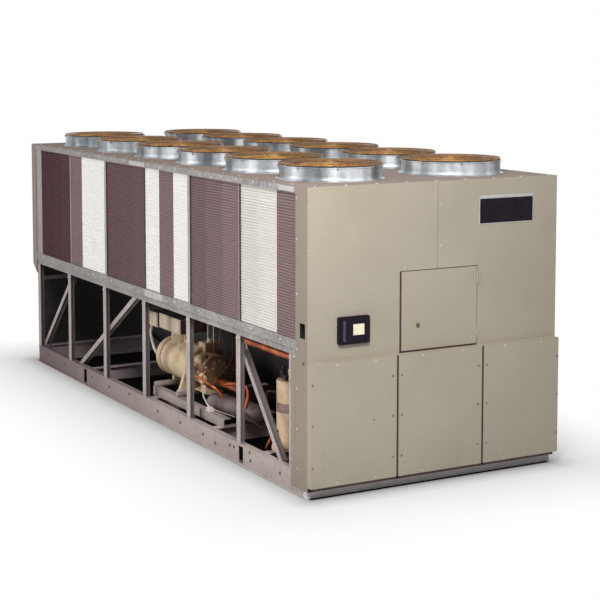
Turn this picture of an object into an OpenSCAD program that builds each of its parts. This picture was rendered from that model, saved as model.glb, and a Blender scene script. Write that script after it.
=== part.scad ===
// Air cooled water chiller with two rows of top fans, an open equipment bay below
// side condenser coils, and a sheet metal control end.
// Millimetres, +X toward the control end, +Z up, origin on the ground under the middle of the box.

/* [Overall] */
// Length from the far end cover to the lower front panels
overall_l = 5980; // [5800:10:6200]
// Width over the side rails
overall_w = 2240; // [2140:10:2400]
// Height of the base rails
base_h = 170; // [140:5:200]
// Clear height of the open bay between base and middle rail
open_h = 869; // [800:5:960]
// Height of the middle rail
mid_h = 115; // [90:5:140]
// Height of the coil faces
coil_h = 1080; // [900:10:1200]
// Height of the top rail
top_h = 48; // [40:2:70]

/* [Frame] */
// Web thickness of the base rails
web_t = 8; // [6:1:12]
// Flange thickness of the base rails
flange_t = 10; // [6:1:14]
// Width of the inner top flange of the base rails
flange_w = 60; // [40:5:90]
// Reach of the lower flange past the web
toe = 10; // [6:1:20]
// Face width of the bay posts
post_w = 70; // [56:2:90]
// Depth of the bay posts
post_d = 38; // [30:1:50]
// Sheet thickness of the posts and braces
post_t = 5; // [3:0.5:8]
// Face width of the diagonal braces
brace_w = 46; // [40:2:70]
// Depth of the diagonal braces
brace_d = 50; // [40:1:70]
// Sheet thickness of the rolled rails
rail_t = 6; // [4:0.5:10]
// Width of a base cross beam
beam_w = 80; // [60:5:120]

/* [Coils] */
// Number of coil panels in a bay
strips = 3; // [2:1:4]
// Depth of a coil panel
coil_d = 70; // [50:5:90]
// Width of the mullions at the ends of each pair of bays
mull_w = 46; // [30:2:60]
// Width of the thin mullions between the bays of a pair
mull_thin = 14; // [10:1:28]
// Reach of the far end strip past the first bay line
mull_end = 85; // [40:5:110]
// Number of louvre folds in a coil face
folds = 27; // [12:1:36]
// Depth of a louvre fold
fold_d = 6; // [3:0.5:10]

/* [Fans] */
// Outside diameter of a fan ring
fan_d = 792; // [720:4:820]
// Height of a fan ring over the deck
ring_h = 106; // [80:2:140]
// Wall thickness of a fan ring
ring_t = 6; // [4:0.5:10]
// Rise of the wire guard over its ring
guard_rise = 20; // [10:2:60]
// Thickness of the guard wires
wire = 6; // [4:0.5:8]
// Number of wire rings in a guard
guard_rings = 6; // [4:1:8]
// Number of bars across a guard
guard_bars = 4; // [3:1:6]
// Number of blades on a fan
blades = 5; // [3:1:7]
// Gap between blade tips and ring
tip_gap = 14; // [8:1:30]
// Diameter of a fan motor
motor_d = 180; // [140:5:220]

/* [Control end] */
// Depth of the control box
box_d = 179; // [150:1:240]
// Sheet thickness of the panels
sheet_t = 4; // [2:0.5:6]
// Distance the lower panels stand forward of the upper ones
lower_proud = 50; // [30:2:80]
// Depth of the cover on the far end
cover_d = 120; // [80:5:160]
// Width of the access door
door_w = 680; // [560:5:760]
// Height of the access door
door_h = 596; // [480:4:660]
// Gap around the access door
door_gap = 6; // [5:0.5:8]
// Shadow gap beside and under the access door
shadow_gap = 15; // [8:1:20]
// Depth of the folded edge of the access door
door_t = 18; // [12:1:26]
// Depth of the recess behind the access door
recess_d = 120; // [90:5:140]
// Radius of the hinge barrels
hinge_r = 6; // [5:0.5:9]
// Radius of the hinge pins
pin_r = 2.5; // [2:0.1:3]
// Gap between hinge pins and barrels
pin_gap = 0.3; // [0.2:0.05:0.5]

/* [Equipment] */
// Diameter of the compressor motor drum
drum_d = 345; // [300:5:380]
// Length of the compressor motor drum
drum_l = 690; // [600:5:740]
// Length of the compressor head past the drum
head_l = 250; // [200:5:300]
// Diameter of the evaporator shell
shell_d = 640; // [540:5:700]
// Diameter of the oil separator
sep_d = 280; // [240:5:330]
// Height of the oil separator shell
sep_h = 540; // [460:5:580]
// Diameter of the discharge pipe
pipe_d = 70; // [50:2:90]
// Diameter of the suction header
header_d = 160; // [120:4:180]

/* [Hidden] */
$fn = 64;

bays = 6;
half_w = overall_w / 2;
front_x = overall_l / 2;
far_x = -overall_l / 2;
upper_x = front_x - lower_proud;
box_x1 = upper_x - sheet_t;
box_x0 = box_x1 - box_d;
frame_x0 = far_x + cover_d;
end_strip = 65;
bay_x0 = frame_x0 + end_strip;
pitch = (box_x0 - bay_x0) / bays;
function post_x(i) = bay_x0 + pitch * i;
function bay_c(i) = bay_x0 + pitch * (i + 0.5);

// Levels
mid_z = base_h + open_h;
mid_top = mid_z + mid_h;
rail_z = mid_top + coil_h;
deck_t = 6;
deck_z = rail_z + top_h;
deck_top = deck_z + deck_t;
ring_top = deck_top + ring_h;
front_seam = mid_z - 25;
panel_gap = 4;

// Sides: outer faces
web_y = half_w - toe;
post_y1 = web_y;
post_y0 = web_y - post_d;
brace_y1 = post_y0;
coil_y1 = half_w - 14;
coil_y0 = coil_y1 - coil_d;
rail_w = half_w - coil_y0 + 10;
base_x1 = box_x1 - 86;

// Equipment lines
comp_y = half_w - 370;
rail_off = 180;
skid_w = 70;
skid_h = 75;
skid_out = comp_y + rail_off;
skid_in = comp_y - rail_off - skid_w;
skid_x0 = post_x(3) - 99;
skid_x1 = post_x(4) + 411;
comp_x0 = skid_x0 - 117;
comp_z = base_h + 325;
foot_t = 42;
tube_r = 26;
tube_sink = 3;
tube_xs = [skid_x0 + tube_r, skid_x0 + 493];
tube_z = base_h + skid_h + tube_r - tube_sink;
foot_z = tube_z + tube_r;
term_z = comp_z + drum_d / 2 + 87;
sep_x = bay_c(5) - 133;
sep_y = half_w - 320;
shell_y = 50;
shell_z = base_h + 60 + shell_d / 2;
beam_xs = [bay_c(1) - 46, skid_x0 + 103, skid_x1 - 64, sep_x];
beam_z0 = 25;
saddle_t = 60;
header_z = base_h + 20 + header_d / 2;
fan_y = half_w - 564;

module both() {
    children();
    mirror([0, 1, 0]) children();
}

// A straight run along X of a profile drawn in Y and Z
module run_x(x0, x1) {
    translate([x0, 0, 0]) rotate([90, 0, 90]) linear_extrude(height = x1 - x0) children();
}

// Left is the side toward -Y. Profiles are drawn with +Y outward and mirrored to the left.
module left() {
    mirror([0, 1, 0]) children();
}

module rod(a, b, r) {
    d = b - a;
    l = norm(d);
    translate(a) rotate([0, acos(d[2] / l), atan2(d[1], d[0])]) cylinder(h = l, r = r);
}

// A pipe of one radius along a list of points, with ball bends
module pipe(pts, r) {
    for (i = [0 : len(pts) - 2]) rod(pts[i], pts[i + 1], r);
    for (i = [1 : len(pts) - 2]) translate(pts[i]) sphere(r = r);
}

lift_x = [bay_x0 + pitch * 1.37, bay_x0 + pitch * 5.014];
lift_w = 84;
lift_z = 16;
lift_h = base_h - 2 * lift_z;

module base_rail() {
    difference() {
        run_x(frame_x0, base_x1) polygon([
            [web_y + toe, 0], [web_y + toe, flange_t], [web_y, flange_t], [web_y, base_h],
            [web_y - flange_w, base_h], [web_y - flange_w, base_h - flange_t],
            [web_y - web_t, base_h - flange_t], [web_y - web_t, flange_t],
            [web_y - flange_w, flange_t], [web_y - flange_w, 0]]);
        for (x = lift_x) translate([x - lift_w / 2, web_y - web_t - 1, lift_z])
            cube([lift_w, web_t + 2, lift_h]);
    }
}
module base_rail_left() color("silver") left() base_rail();
module base_rail_right() color("silver") base_rail();

// End channel across the frame between the two rails, its web outward
end_flange = 70;
module end_channel(x, s) {
    w = web_y - flange_w;
    translate([x, 0, 0]) scale([s, 1, 1]) rotate([90, 0, 0])
        translate([0, 0, -w]) linear_extrude(height = 2 * w) polygon([
            [0, 0], [end_flange, 0], [end_flange, flange_t], [web_t, flange_t],
            [web_t, base_h - flange_t], [end_flange, base_h - flange_t], [end_flange, base_h],
            [0, base_h]]);
}
module base_ends() color("silver") {
    end_channel(frame_x0, 1);
    end_channel(base_x1, -1);
}

module base_cross_beams() color("silver") {
    l = web_y - flange_w;
    for (x = beam_xs) difference() {
        translate([x - beam_w / 2, -l, beam_z0]) cube([beam_w, 2 * l, base_h - beam_z0]);
        translate([x - beam_w / 2 + rail_t, -l - 1, beam_z0 - 1])
            cube([beam_w, 2 * l + 2, base_h - beam_z0 + 1 - rail_t]);
    }
}

// Bay posts: channels that open toward the control end, on a pitch a little longer than the coils'
post_pitch = pitch * 1.0113;
post_lead = 57;
function post_at(i) = box_x0 - pitch - post_lead - (bays - 1 - i) * post_pitch;
module post(x) {
    translate([x, 0, base_h]) linear_extrude(height = open_h) difference() {
        translate([0, post_y0]) square([post_w, post_d]);
        translate([post_t, post_y0 + post_t]) square([post_w, post_d - 2 * post_t]);
    }
}
module posts() {
    post(frame_x0);
    for (i = [1 : bays - 1]) post(post_at(i));
    post(box_x0 - post_w);
}
module posts_left() color("silver") left() posts();
module posts_right() color("silver") posts();

// A diagonal channel behind the posts that opens up (side 1) or down (side -1),
// cut level at both ends and plumb at x0 and x1
module brace(xa, za, xb, zb, x0, x1, side) {
    a = atan2(zb - za, xb - xa);
    l = norm([xb - xa, zb - za]);
    intersection() {
        translate([xa, brace_y1, za]) rotate([0, -a, 0]) scale([1, 1, side])
            translate([-200, -brace_d, -brace_w / 2]) difference() {
                cube([l + 400, brace_d, brace_w]);
                translate([-1, post_t, post_t])
                    cube([l + 402, brace_d - 2 * post_t, brace_w]);
            }
        translate([x0, brace_y1 - brace_d - 1, base_h]) cube([x1 - x0, brace_d + 2, open_h]);
    }
}
module braces() {
    brace(frame_x0 + 60, base_h, post_at(1) + 51, mid_z, frame_x0, post_at(1) + 12, -1);
    brace(bay_c(1) - 332, base_h, post_x(3) - 312, mid_z, post_at(1), post_at(3) + post_w, -1);
    brace(post_at(5) - 88, mid_z, box_x0 - 318, base_h, post_at(5), box_x0, 1);
}
module braces_left() color("silver") left() braces();
module braces_right() color("silver") braces();

module mid_rail() {
    y1 = half_w;
    y0 = half_w - rail_w;
    run_x(frame_x0, box_x0) polygon([
        [y0, mid_top], [y1, mid_top], [y1, mid_z + 0.42 * mid_h], [y1 - 9, mid_z + 0.34 * mid_h],
        [y1 - 9, mid_z], [post_y0, mid_z], [post_y0, mid_z + rail_t],
        [y1 - 9 - rail_t, mid_z + rail_t], [y1 - 9 - rail_t, mid_z + 0.36 * mid_h],
        [y1 - rail_t, mid_z + 0.44 * mid_h], [y1 - rail_t, mid_top - rail_t],
        [y0, mid_top - rail_t]]);
}
module mid_rail_left() color("silver") left() mid_rail();
module mid_rail_right() color("silver") mid_rail();

bar_z = mid_z - 180;
bar_h = 48;
module far_end_crossbar() color("silver") {
    translate([frame_x0, -post_y0, bar_z]) cube([rail_t, 2 * post_y0, bar_h]);
    translate([frame_x0, -post_y0, bar_z + bar_h - rail_t]) cube([bar_h, 2 * post_y0, rail_t]);
}

module far_end_panel() color("dimgray")
    translate([frame_x0 - sheet_t, -web_y, base_h - 70]) cube([sheet_t, 2 * web_y, open_h + 70]);

// Mullions stand 6 mm proud of the coil faces. The last one at the control box is thin too.
mull_d = coil_d + 6;
function mull(i) = i == 0 ? 2 * mull_end : (i % 2 == 0 && i < bays) ? mull_w : mull_thin;
module mullions() {
    translate([frame_x0, coil_y0, mid_top]) cube([end_strip + mull(0) / 2, mull_d, coil_h]);
    for (i = [1 : bays - 1]) translate([post_x(i) - mull(i) / 2, coil_y0, mid_top])
        cube([mull(i), mull_d, coil_h]);
    translate([box_x0 - mull(bays) / 2, coil_y0, mid_top])
        cube([mull(bays) / 2, mull_d, coil_h]);
}
module mullions_left() color("silver") left() mullions();
module mullions_right() color("silver") mullions();

function strip_w(bay) = (pitch - mull(bay) / 2 - mull(bay + 1) / 2) / strips;
strip_gap = 2;
fold_h = coil_h / folds;
// A louvred coil panel: one folded profile run along X
module coil_strip(bay, n) {
    x = post_x(bay) + mull(bay) / 2 + strip_w(bay) * n;
    run_x(x + strip_gap / 2, x + strip_w(bay) - strip_gap / 2) polygon(concat(
        [for (k = [0 : folds - 1]) each [
            [coil_y1 - fold_d, mid_top + fold_h * k],
            [coil_y1, mid_top + fold_h * (k + 0.2)],
            [coil_y1, mid_top + fold_h * (k + 0.75)],
            [coil_y1 - fold_d, mid_top + fold_h * (k + 0.95)]]],
        [[coil_y1 - fold_d, rail_z], [coil_y0, rail_z], [coil_y0, mid_top]]));
}
// Bays 2, 4 and 6 carry the pale panels
function pale(bay, n) = (bay == 1 && n > 0) || (bay == 3 && n != 1) || (bay == 5 && n < strips - 1);
module coils(light) {
    for (b = [0 : bays - 1]) for (n = [0 : strips - 1]) if (pale(b, n) == light) coil_strip(b, n);
}
module coil_dark_left() color("rosybrown") left() coils(false);
module coil_light_left() color("white") left() coils(true);
module coil_dark_right() color("rosybrown") coils(false);
module coil_light_right() color("white") coils(true);

module top_rail() {
    y0 = half_w - rail_w;
    run_x(frame_x0, box_x0) polygon([
        [y0, rail_z], [half_w, rail_z], [half_w, deck_z], [y0, deck_z], [y0, deck_z - rail_t],
        [half_w - rail_t, deck_z - rail_t], [half_w - rail_t, rail_z + rail_t],
        [y0, rail_z + rail_t]]);
}
module top_rail_left() color("silver") left() top_rail();
module top_rail_right() color("silver") top_rail();

module far_end_cover() color("tan")
    translate([0, half_w, 0]) rotate([90, 0, 0]) linear_extrude(height = overall_w) polygon([
        [far_x, deck_z], [far_x, mid_z - 10], [frame_x0 - sheet_t, mid_z - 100],
        [frame_x0 - sheet_t, mid_z], [frame_x0, mid_z], [frame_x0, deck_z]]);

module air_baffle() color("silver")
    translate([frame_x0, -(half_w - rail_w), mid_top - rail_t])
        cube([box_x0 - frame_x0, 2 * (half_w - rail_w), rail_t]);

function fan_at(i, s) = [bay_c(i), s * fan_y, 0];
module each_fan(s) {
    for (i = [0 : bays - 1]) translate(fan_at(i, s)) children();
}
ring_r = fan_d / 2;

module fan_deck() color("tan") difference() {
    translate([far_x, -half_w, deck_z]) cube([box_x1 - far_x, overall_w, deck_t]);
    for (s = [-1, 1]) each_fan(s)
        translate([0, 0, deck_z - 1]) cylinder(h = deck_t + 2, r = ring_r - ring_t);
}

module fan_ring() rotate_extrude() polygon([
    [ring_r - ring_t, deck_top], [ring_r + 26, deck_top], [ring_r + 26, deck_top + 4],
    [ring_r, deck_top + 4], [ring_r, ring_top - 10], [ring_r + 7, ring_top - 7],
    [ring_r + 7, ring_top], [ring_r - ring_t, ring_top]]);
module fan_rings_left() color("silver") each_fan(-1) fan_ring();
module fan_rings_right() color("silver") each_fan(1) fan_ring();

// Wire guard: rings and bars that follow one shallow dome
guard_r = ring_r - 2;
function dome(r) = ring_top + guard_rise * (1 - pow(r / guard_r, 3)) - wire * (1 - r / guard_r);
guard_step = (guard_r - wire / 2) / guard_rings;
module guard_bar() rotate([90, 0, 0]) translate([0, 0, -wire / 2]) linear_extrude(height = wire)
    polygon(concat(
        [for (k = [-guard_rings : guard_rings]) [guard_step * k, dome(abs(guard_step * k))]],
        [for (k = [guard_rings : -1 : -guard_rings])
            [guard_step * k, dome(abs(guard_step * k)) + wire]]));
module fan_guard() {
    for (k = [0 : guard_bars - 1]) rotate([0, 0, 180 * k / guard_bars + 11]) guard_bar();
    for (k = [1 : guard_rings]) translate([0, 0, dome(guard_step * k)]) difference() {
        cylinder(h = wire, r = guard_step * k + wire / 2);
        translate([0, 0, -1]) cylinder(h = wire + 2, r = guard_step * k - wire / 2);
    }
}
module fan_guards_left() color("goldenrod") each_fan(-1) fan_guard();
module fan_guards_right() color("goldenrod") each_fan(1) fan_guard();

hub_r = fan_d * 0.0884;
hub_h = fan_d * 0.0707;
blade_w = fan_d * 0.19;
motor_h = fan_d * 0.19;
hub_z = deck_top + 26;
blade_l = ring_r - ring_t - tip_gap;
module fan_rotor() {
    translate([0, 0, hub_z]) cylinder(h = hub_h, r = hub_r);
    for (k = [0 : blades - 1]) rotate([0, 0, 360 * k / blades]) intersection() {
        translate([0, 0, hub_z + hub_h / 2]) rotate([24, 0, 0])
            translate([0, -blade_w / 2, -1.5]) cube([blade_l + 20, blade_w, 3]);
        translate([0, 0, hub_z]) cylinder(h = ring_h, r = blade_l);
    }
}
module fan_rotors() color("dimgray") for (s = [-1, 1]) each_fan(s) fan_rotor();

module fan_motor() {
    arm_z = deck_z - 8;
    translate([-ring_r - 20, -30, arm_z]) cube([2 * ring_r + 40, 60, 8]);
    translate([0, 0, arm_z - motor_h]) cylinder(h = motor_h, r = motor_d / 2);
    translate([0, 0, arm_z]) cylinder(h = hub_z - arm_z, r = 16);
}
module fan_motors() color("dimgray") for (s = [-1, 1]) each_fan(s) fan_motor();

// Access door opening in the front of the control box
door_y1 = 362;
door_y0 = door_y1 - door_w;
door_z0 = front_seam + shadow_gap - 2;
door_z1 = door_z0 + door_h;
hole_y0 = door_y0 - shadow_gap;
hole_y1 = door_y1 + door_gap;
hole_z1 = door_z1 + door_gap;
module door_hole(x0, x1) {
    translate([x0, hole_y0, front_seam - 1]) cube([x1 - x0, hole_y1 - hole_y0, hole_z1 - front_seam + 1]);
}

// Vent in each side of the control box
vent = [80, 60, 112];
vent_x = box_x0 + 65;
vent_z = front_seam + 167;
module control_box() color("tan") difference() {
    translate([box_x0, -half_w, front_seam]) cube([box_d, overall_w, deck_z - front_seam]);
    both() translate([vent_x, half_w - vent[1], vent_z]) cube(vent + [0, 1, 0]);
    translate([box_x1 - recess_d, hole_y0, front_seam + sheet_t])
        cube([recess_d + 1, hole_y1 - hole_y0, hole_z1 - front_seam - sheet_t]);
}
seam_y = 0;
module upper_sheet(y0, y1) difference() {
    translate([box_x1, y0, front_seam]) cube([sheet_t, y1 - y0, deck_top - front_seam]);
    door_hole(box_x1 - 1, upper_x + 1);
}
hinge_x = upper_x + hinge_r + 0.3;
hinge_y = door_y1 + door_gap / 2;
hinge_zs = [door_z0 + 90, door_z1 - 90];
hinge_l = 30;
module hinge_fixed(z) {
    for (k = [-1, 1]) translate([hinge_x, hinge_y, z + k * (hinge_l + 0.3) - hinge_l / 2])
        cylinder(h = hinge_l, r = hinge_r);
    translate([hinge_x, hinge_y, z - hinge_l]) cylinder(h = 2 * hinge_l, r = pin_r);
    for (k = [-1, 1]) translate([upper_x, hinge_y, z + k * (hinge_l + 0.3) - hinge_l / 2])
        cube([3, 40, hinge_l]);
}
module upper_panel_left() color("tan") upper_sheet(-half_w, seam_y - panel_gap / 2);
module upper_panel_right() color("tan") {
    upper_sheet(seam_y + panel_gap / 2, half_w);
    for (z = hinge_zs) hinge_fixed(z);
}
latch_y = -176;
latch_z = front_seam + 199;
module access_door() color("tan") {
    difference() {
        translate([upper_x - door_t, door_y0, door_z0]) cube([door_t, door_w, door_h]);
        translate([upper_x - door_t - 1, door_y0 + sheet_t, door_z0 + sheet_t])
            cube([door_t - sheet_t + 1, door_w - 2 * sheet_t, door_h - 2 * sheet_t]);
    }
    for (z = hinge_zs) difference() {
        union() {
            translate([hinge_x, hinge_y, z - hinge_l / 2]) cylinder(h = hinge_l, r = hinge_r);
            translate([upper_x, hinge_y - 40, z - hinge_l / 2]) cube([3, 40, hinge_l]);
        }
        translate([hinge_x, hinge_y, z - hinge_l]) cylinder(h = 2 * hinge_l, r = pin_r + pin_gap);
    }
    translate([upper_x, latch_y, latch_z]) rotate([0, 90, 0]) cylinder(h = 5, r = 13);
    translate([upper_x + 5, latch_y - 3, latch_z - 9]) cube([6, 6, 18]);
}

lower_z0 = 95;
lower_seams = [-380, 392];
lower_gap = 14;
module lower_pan(y0, y1) difference() {
    translate([box_x1, y0, lower_z0])
        cube([front_x - box_x1, y1 - y0, front_seam - panel_gap - lower_z0]);
    translate([box_x1 - 1, y0 + sheet_t, lower_z0 + sheet_t])
        cube([front_x - box_x1 - sheet_t + 1, y1 - y0 - 2 * sheet_t,
            front_seam - panel_gap - lower_z0 - 2 * sheet_t]);
}
module lower_panels() color("tan") {
    lower_pan(-half_w, lower_seams[0] - lower_gap / 2);
    lower_pan(lower_seams[0] + lower_gap / 2, lower_seams[1] - lower_gap / 2);
    lower_pan(lower_seams[1] + lower_gap / 2, half_w);
}
module front_frame() color("silver") {
    inner = half_w - sheet_t;
    translate([base_x1, -inner, lower_z0]) cube([box_x1 - base_x1, 2 * inner, base_h - lower_z0]);
    for (y = [-inner, lower_seams[0] - 20, lower_seams[1] - 20, inner - 40])
        translate([box_x1 - 46, y, base_h]) cube([46, 40, front_seam - base_h]);
}
module side_panels() color("tan") both()
    translate([box_x0, half_w - sheet_t, 60]) cube([box_d, sheet_t, front_seam - 60]);

ctrl_w = 266;
ctrl_h = 204;
ctrl_y = 378 - half_w;
ctrl_z = front_seam + 214;
module controller() color("black") {
    translate([upper_x, ctrl_y, ctrl_z]) rotate([90, 0, 90]) {
        difference() {
            linear_extrude(height = 26) round_rect(ctrl_w, ctrl_h, 16);
            translate([44 - 54, -45, 20]) cube([108, 92, 10]);
        }
        translate([44 - 54, -45, 20]) cube([108, 92, 3]);
        translate([-ctrl_w / 2 + 34, -ctrl_h / 2 + 24, 26]) cube([22, ctrl_h - 48, 4]);
    }
}
module round_rect(w, h, r) {
    square([w, h - 2 * r], center = true);
    square([w - 2 * r, h], center = true);
    for (sx = [-1, 1]) for (sy = [-1, 1])
        translate([sx * (w / 2 - r), sy * (h / 2 - r)]) circle(r = r);
}
module name_plate() color("black")
    translate([upper_x, half_w - 736, deck_top - 341]) cube([4, 498, 187]);

// Semi-hermetic screw compressor, drawn with its axis along X: one revolved body with its
// groove and flange, then the end cover, the valve block, the terminal neck and the feet
groove_x = drum_l * 0.1;
flange_l = drum_l / 15;
cover_r = drum_d * 0.22;
cover_rise = drum_d * 0.13;
block_l = drum_d * 0.435;
block_h = drum_d * 0.32;
block_w = drum_d * 0.406;
neck_r = drum_d * 0.29;
// Feet on the cross tubes: a pad under the motor end and an arch under the flange
foot_w = drum_d * 0.36;
foot_out = rail_off + 40;
module pad_foot() {
    translate([tube_xs[0] - comp_x0 - foot_t / 2, -foot_w / 2, foot_z - comp_z])
        cube([foot_t, foot_w, comp_z - foot_z]);
}
module arch_foot() {
    z0 = foot_z - comp_z;
    r = drum_d / 2;
    translate([tube_xs[1] - comp_x0 - foot_t / 2, 0, 0]) rotate([90, 0, 90])
        linear_extrude(height = foot_t) polygon([
            [-foot_out, z0], [-foot_out + foot_t, z0], [-r * 0.55, -r * 0.92],
            [r * 0.55, -r * 0.92], [foot_out - foot_t, z0], [foot_out, z0], [r * 0.96, -r * 0.2],
            [-r * 0.96, -r * 0.2]]);
}
module compressor() {
    r = drum_d / 2;
    head_x = drum_l + flange_l;
    end_x = drum_l + head_l;
    translate([comp_x0, comp_y, comp_z]) {
        rotate([0, 90, 0]) rotate_extrude() polygon([
            [0, -drum_d * 0.1], [r * 0.55, -drum_d * 0.09], [r * 0.85, -drum_d * 0.05],
            [r, drum_d * 0.03], [r, groove_x], [r * 0.95, groove_x + 6], [r * 0.95, groove_x + 30],
            [r, groove_x + 36], [r, drum_l], [r * 1.14, drum_l], [r * 1.14, head_x],
            [r * 0.94, head_x], [r * 0.88, end_x], [0, end_x]]);
        translate([end_x - 1, 0, cover_rise]) rotate([0, 90, 0]) cylinder(h = 31, r = cover_r);
        translate([end_x - 1, 0, cover_rise]) rotate([0, 90, 0]) cylinder(h = 46, r = cover_r * 0.7);
        translate([head_x - 0.5 * block_l, -block_w / 2 - 20, r * 0.7])
            cube([0.9 * block_l, block_w, block_h]);
        translate([head_x + block_l * 0.6, 0, 0]) rotate([90, 0, 180])
            cylinder(h = r * 1.12, r = block_l * 0.36);
        translate([groove_x + 1.4 * neck_r, 0, 0]) cylinder(h = term_z - comp_z, r = neck_r);
        pad_foot();
        arch_foot();
    }
}
module compressors() color("burlywood") both() compressor();

// Two terminal boxes over the drum, joined by short conduits
term_a = drum_d * [0.55, 0.667, 0.377];
term_b = drum_d * [1.333, 0.754, 0.377];
term_gap = drum_d * 0.188;
nipple_r = drum_d * 0.07;
module terminal_pair() {
    x = comp_x0 - 10;
    translate([x, comp_y - term_b[1] / 2, term_z]) cube(term_b);
    translate([x - term_gap - term_a[0], comp_y + term_b[1] / 2 - term_a[1] - 10, term_z - 15])
        cube(term_a);
    for (y = [-50, 50]) translate([x - term_gap - 1, comp_y + y, term_z + 0.45 * term_b[2]])
        rotate([0, 90, 0]) cylinder(h = term_gap + 2, r = nipple_r);
}
module terminal_boxes() color("tan") both() terminal_pair();

// Ladder of two channels, cross tubes and a cross bar that carries a compressor on the beams
bar_x = post_x(4) - 70;
module skid() {
    for (y = [skid_out, skid_in]) difference() {
        translate([skid_x0, y, base_h]) cube([skid_x1 - skid_x0, skid_w, skid_h]);
        translate([skid_x0 - 1, y - 1, base_h + rail_t])
            cube([skid_x1 - skid_x0 + 2, skid_w - rail_t + 1, skid_h - 2 * rail_t]);
    }
    for (x = tube_xs) translate([x, skid_in + 8, tube_z]) rotate([-90, 0, 0])
        cylinder(h = skid_out + skid_w - skid_in - 16, r = tube_r);
    translate([bar_x, skid_in + skid_w - rail_t, base_h])
        cube([saddle_t, 2 * rail_off + 2 * rail_t, header_z - header_d / 2 - base_h]);
}
module compressor_skids() color("silver") both() skid();

module evaporator() color("dimgray") {
    r = shell_d / 2;
    x0 = bay_c(1) - 700;
    x1 = bay_c(4) + 480;
    translate([x0, shell_y, shell_z]) rotate([0, 90, 0]) rotate_extrude() polygon([
        [0, 0], [r * 0.7, 0], [r * 0.92, 50], [r * 0.92, 150], [r * 1.06, 150], [r * 1.06, 200],
        [r, 200], [r, x1 - x0 - 200], [r * 1.06, x1 - x0 - 200], [r * 1.06, x1 - x0 - 150],
        [r * 0.92, x1 - x0 - 150], [r * 0.92, x1 - x0 - 50], [r * 0.7, x1 - x0], [0, x1 - x0]]);
    for (i = [0, 2]) translate([beam_xs[i] - beam_w / 2, shell_y - r * 0.8, base_h])
        cube([beam_w, r * 1.6, shell_z - base_h]);
}

cap_r = sep_d * 0.133;
cap_reach = sep_d / 6;
module separator() {
    r = sep_d / 2;
    translate([sep_x, sep_y, base_h]) {
        rotate_extrude() polygon([[0, 0], [r * 0.9, 0], [r, 0.06 * sep_h], [r, sep_h],
            [r * 0.96, 1.02 * sep_h], [0, 1.03 * sep_h]]);
        translate([0, 0, sep_h]) cylinder(h = 0.16 * sep_h, r = pipe_d / 2 + 14);
        translate([cap_r, r * 0.5, cap_r + 6]) rotate([-90, 0, 0])
            cylinder(h = r * 0.5 + cap_reach, r = cap_r);
    }
}
module oil_separators() color("burlywood") both() separator();

// Discharge pipe from the compressor head along, up and over to the separator
pipe_gap = 6;
module discharge() {
    x0 = comp_x0 + drum_l + head_l;
    x1 = post_x(4) + 217;
    z0 = comp_z + cover_rise - cover_r - pipe_gap - pipe_d / 2;
    z1 = mid_z - 170;
    pipe([[x0, comp_y, z0], [x1, comp_y, z0], [x1, comp_y, z1], [sep_x, comp_y, z1],
        [sep_x, sep_y, z1], [sep_x, sep_y, base_h + 1.16 * sep_h]], pipe_d / 2);
}
module copper_pipes() color("peru") both() discharge();

// Insulated suction header that lies on the skid bar and a base beam
module suction_header() {
    r = header_d / 2;
    x0 = bar_x - 20;
    x1 = beam_xs[2] + 150;
    y0 = comp_y + 85;
    y1 = comp_y - 25;
    l = norm([x1 - x0, y1 - y0]);
    translate([x0, y0, header_z]) rotate([0, 90, atan2(y1 - y0, x1 - x0)]) rotate_extrude()
        polygon([[0, -r * 0.7], [r * 0.5, -r * 0.62], [r * 0.85, -r * 0.36], [r, 0], [r, l],
            [r * 0.85, l + r * 0.36], [r * 0.5, l + r * 0.62], [0, l + r * 0.7]]);
    translate([bar_x, y0 - r * 0.9, header_z - r]) cube([saddle_t, r * 1.6, r * 0.6]);
    translate([beam_xs[2] - saddle_t / 2, y1 - r * 0.6, base_h])
        cube([saddle_t, r * 1.6, header_z - base_h - r * 0.4]);
}
module suction_headers() color("dimgray") both() suction_header();

base_rail_left();
base_rail_right();
base_ends();
base_cross_beams();
posts_left();
posts_right();
braces_left();
braces_right();
mid_rail_left();
mid_rail_right();
far_end_crossbar();
far_end_panel();
mullions_left();
mullions_right();
coil_dark_left();
coil_light_left();
coil_dark_right();
coil_light_right();
top_rail_left();
top_rail_right();
far_end_cover();
air_baffle();
fan_deck();
fan_rings_left();
fan_rings_right();
fan_guards_left();
fan_guards_right();
fan_rotors();
fan_motors();
control_box();
upper_panel_left();
upper_panel_right();
access_door();
lower_panels();
front_frame();
side_panels();
controller();
name_plate();
compressors();
terminal_boxes();
compressor_skids();
evaporator();
oil_separators();
copper_pipes();
suction_headers();
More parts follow.
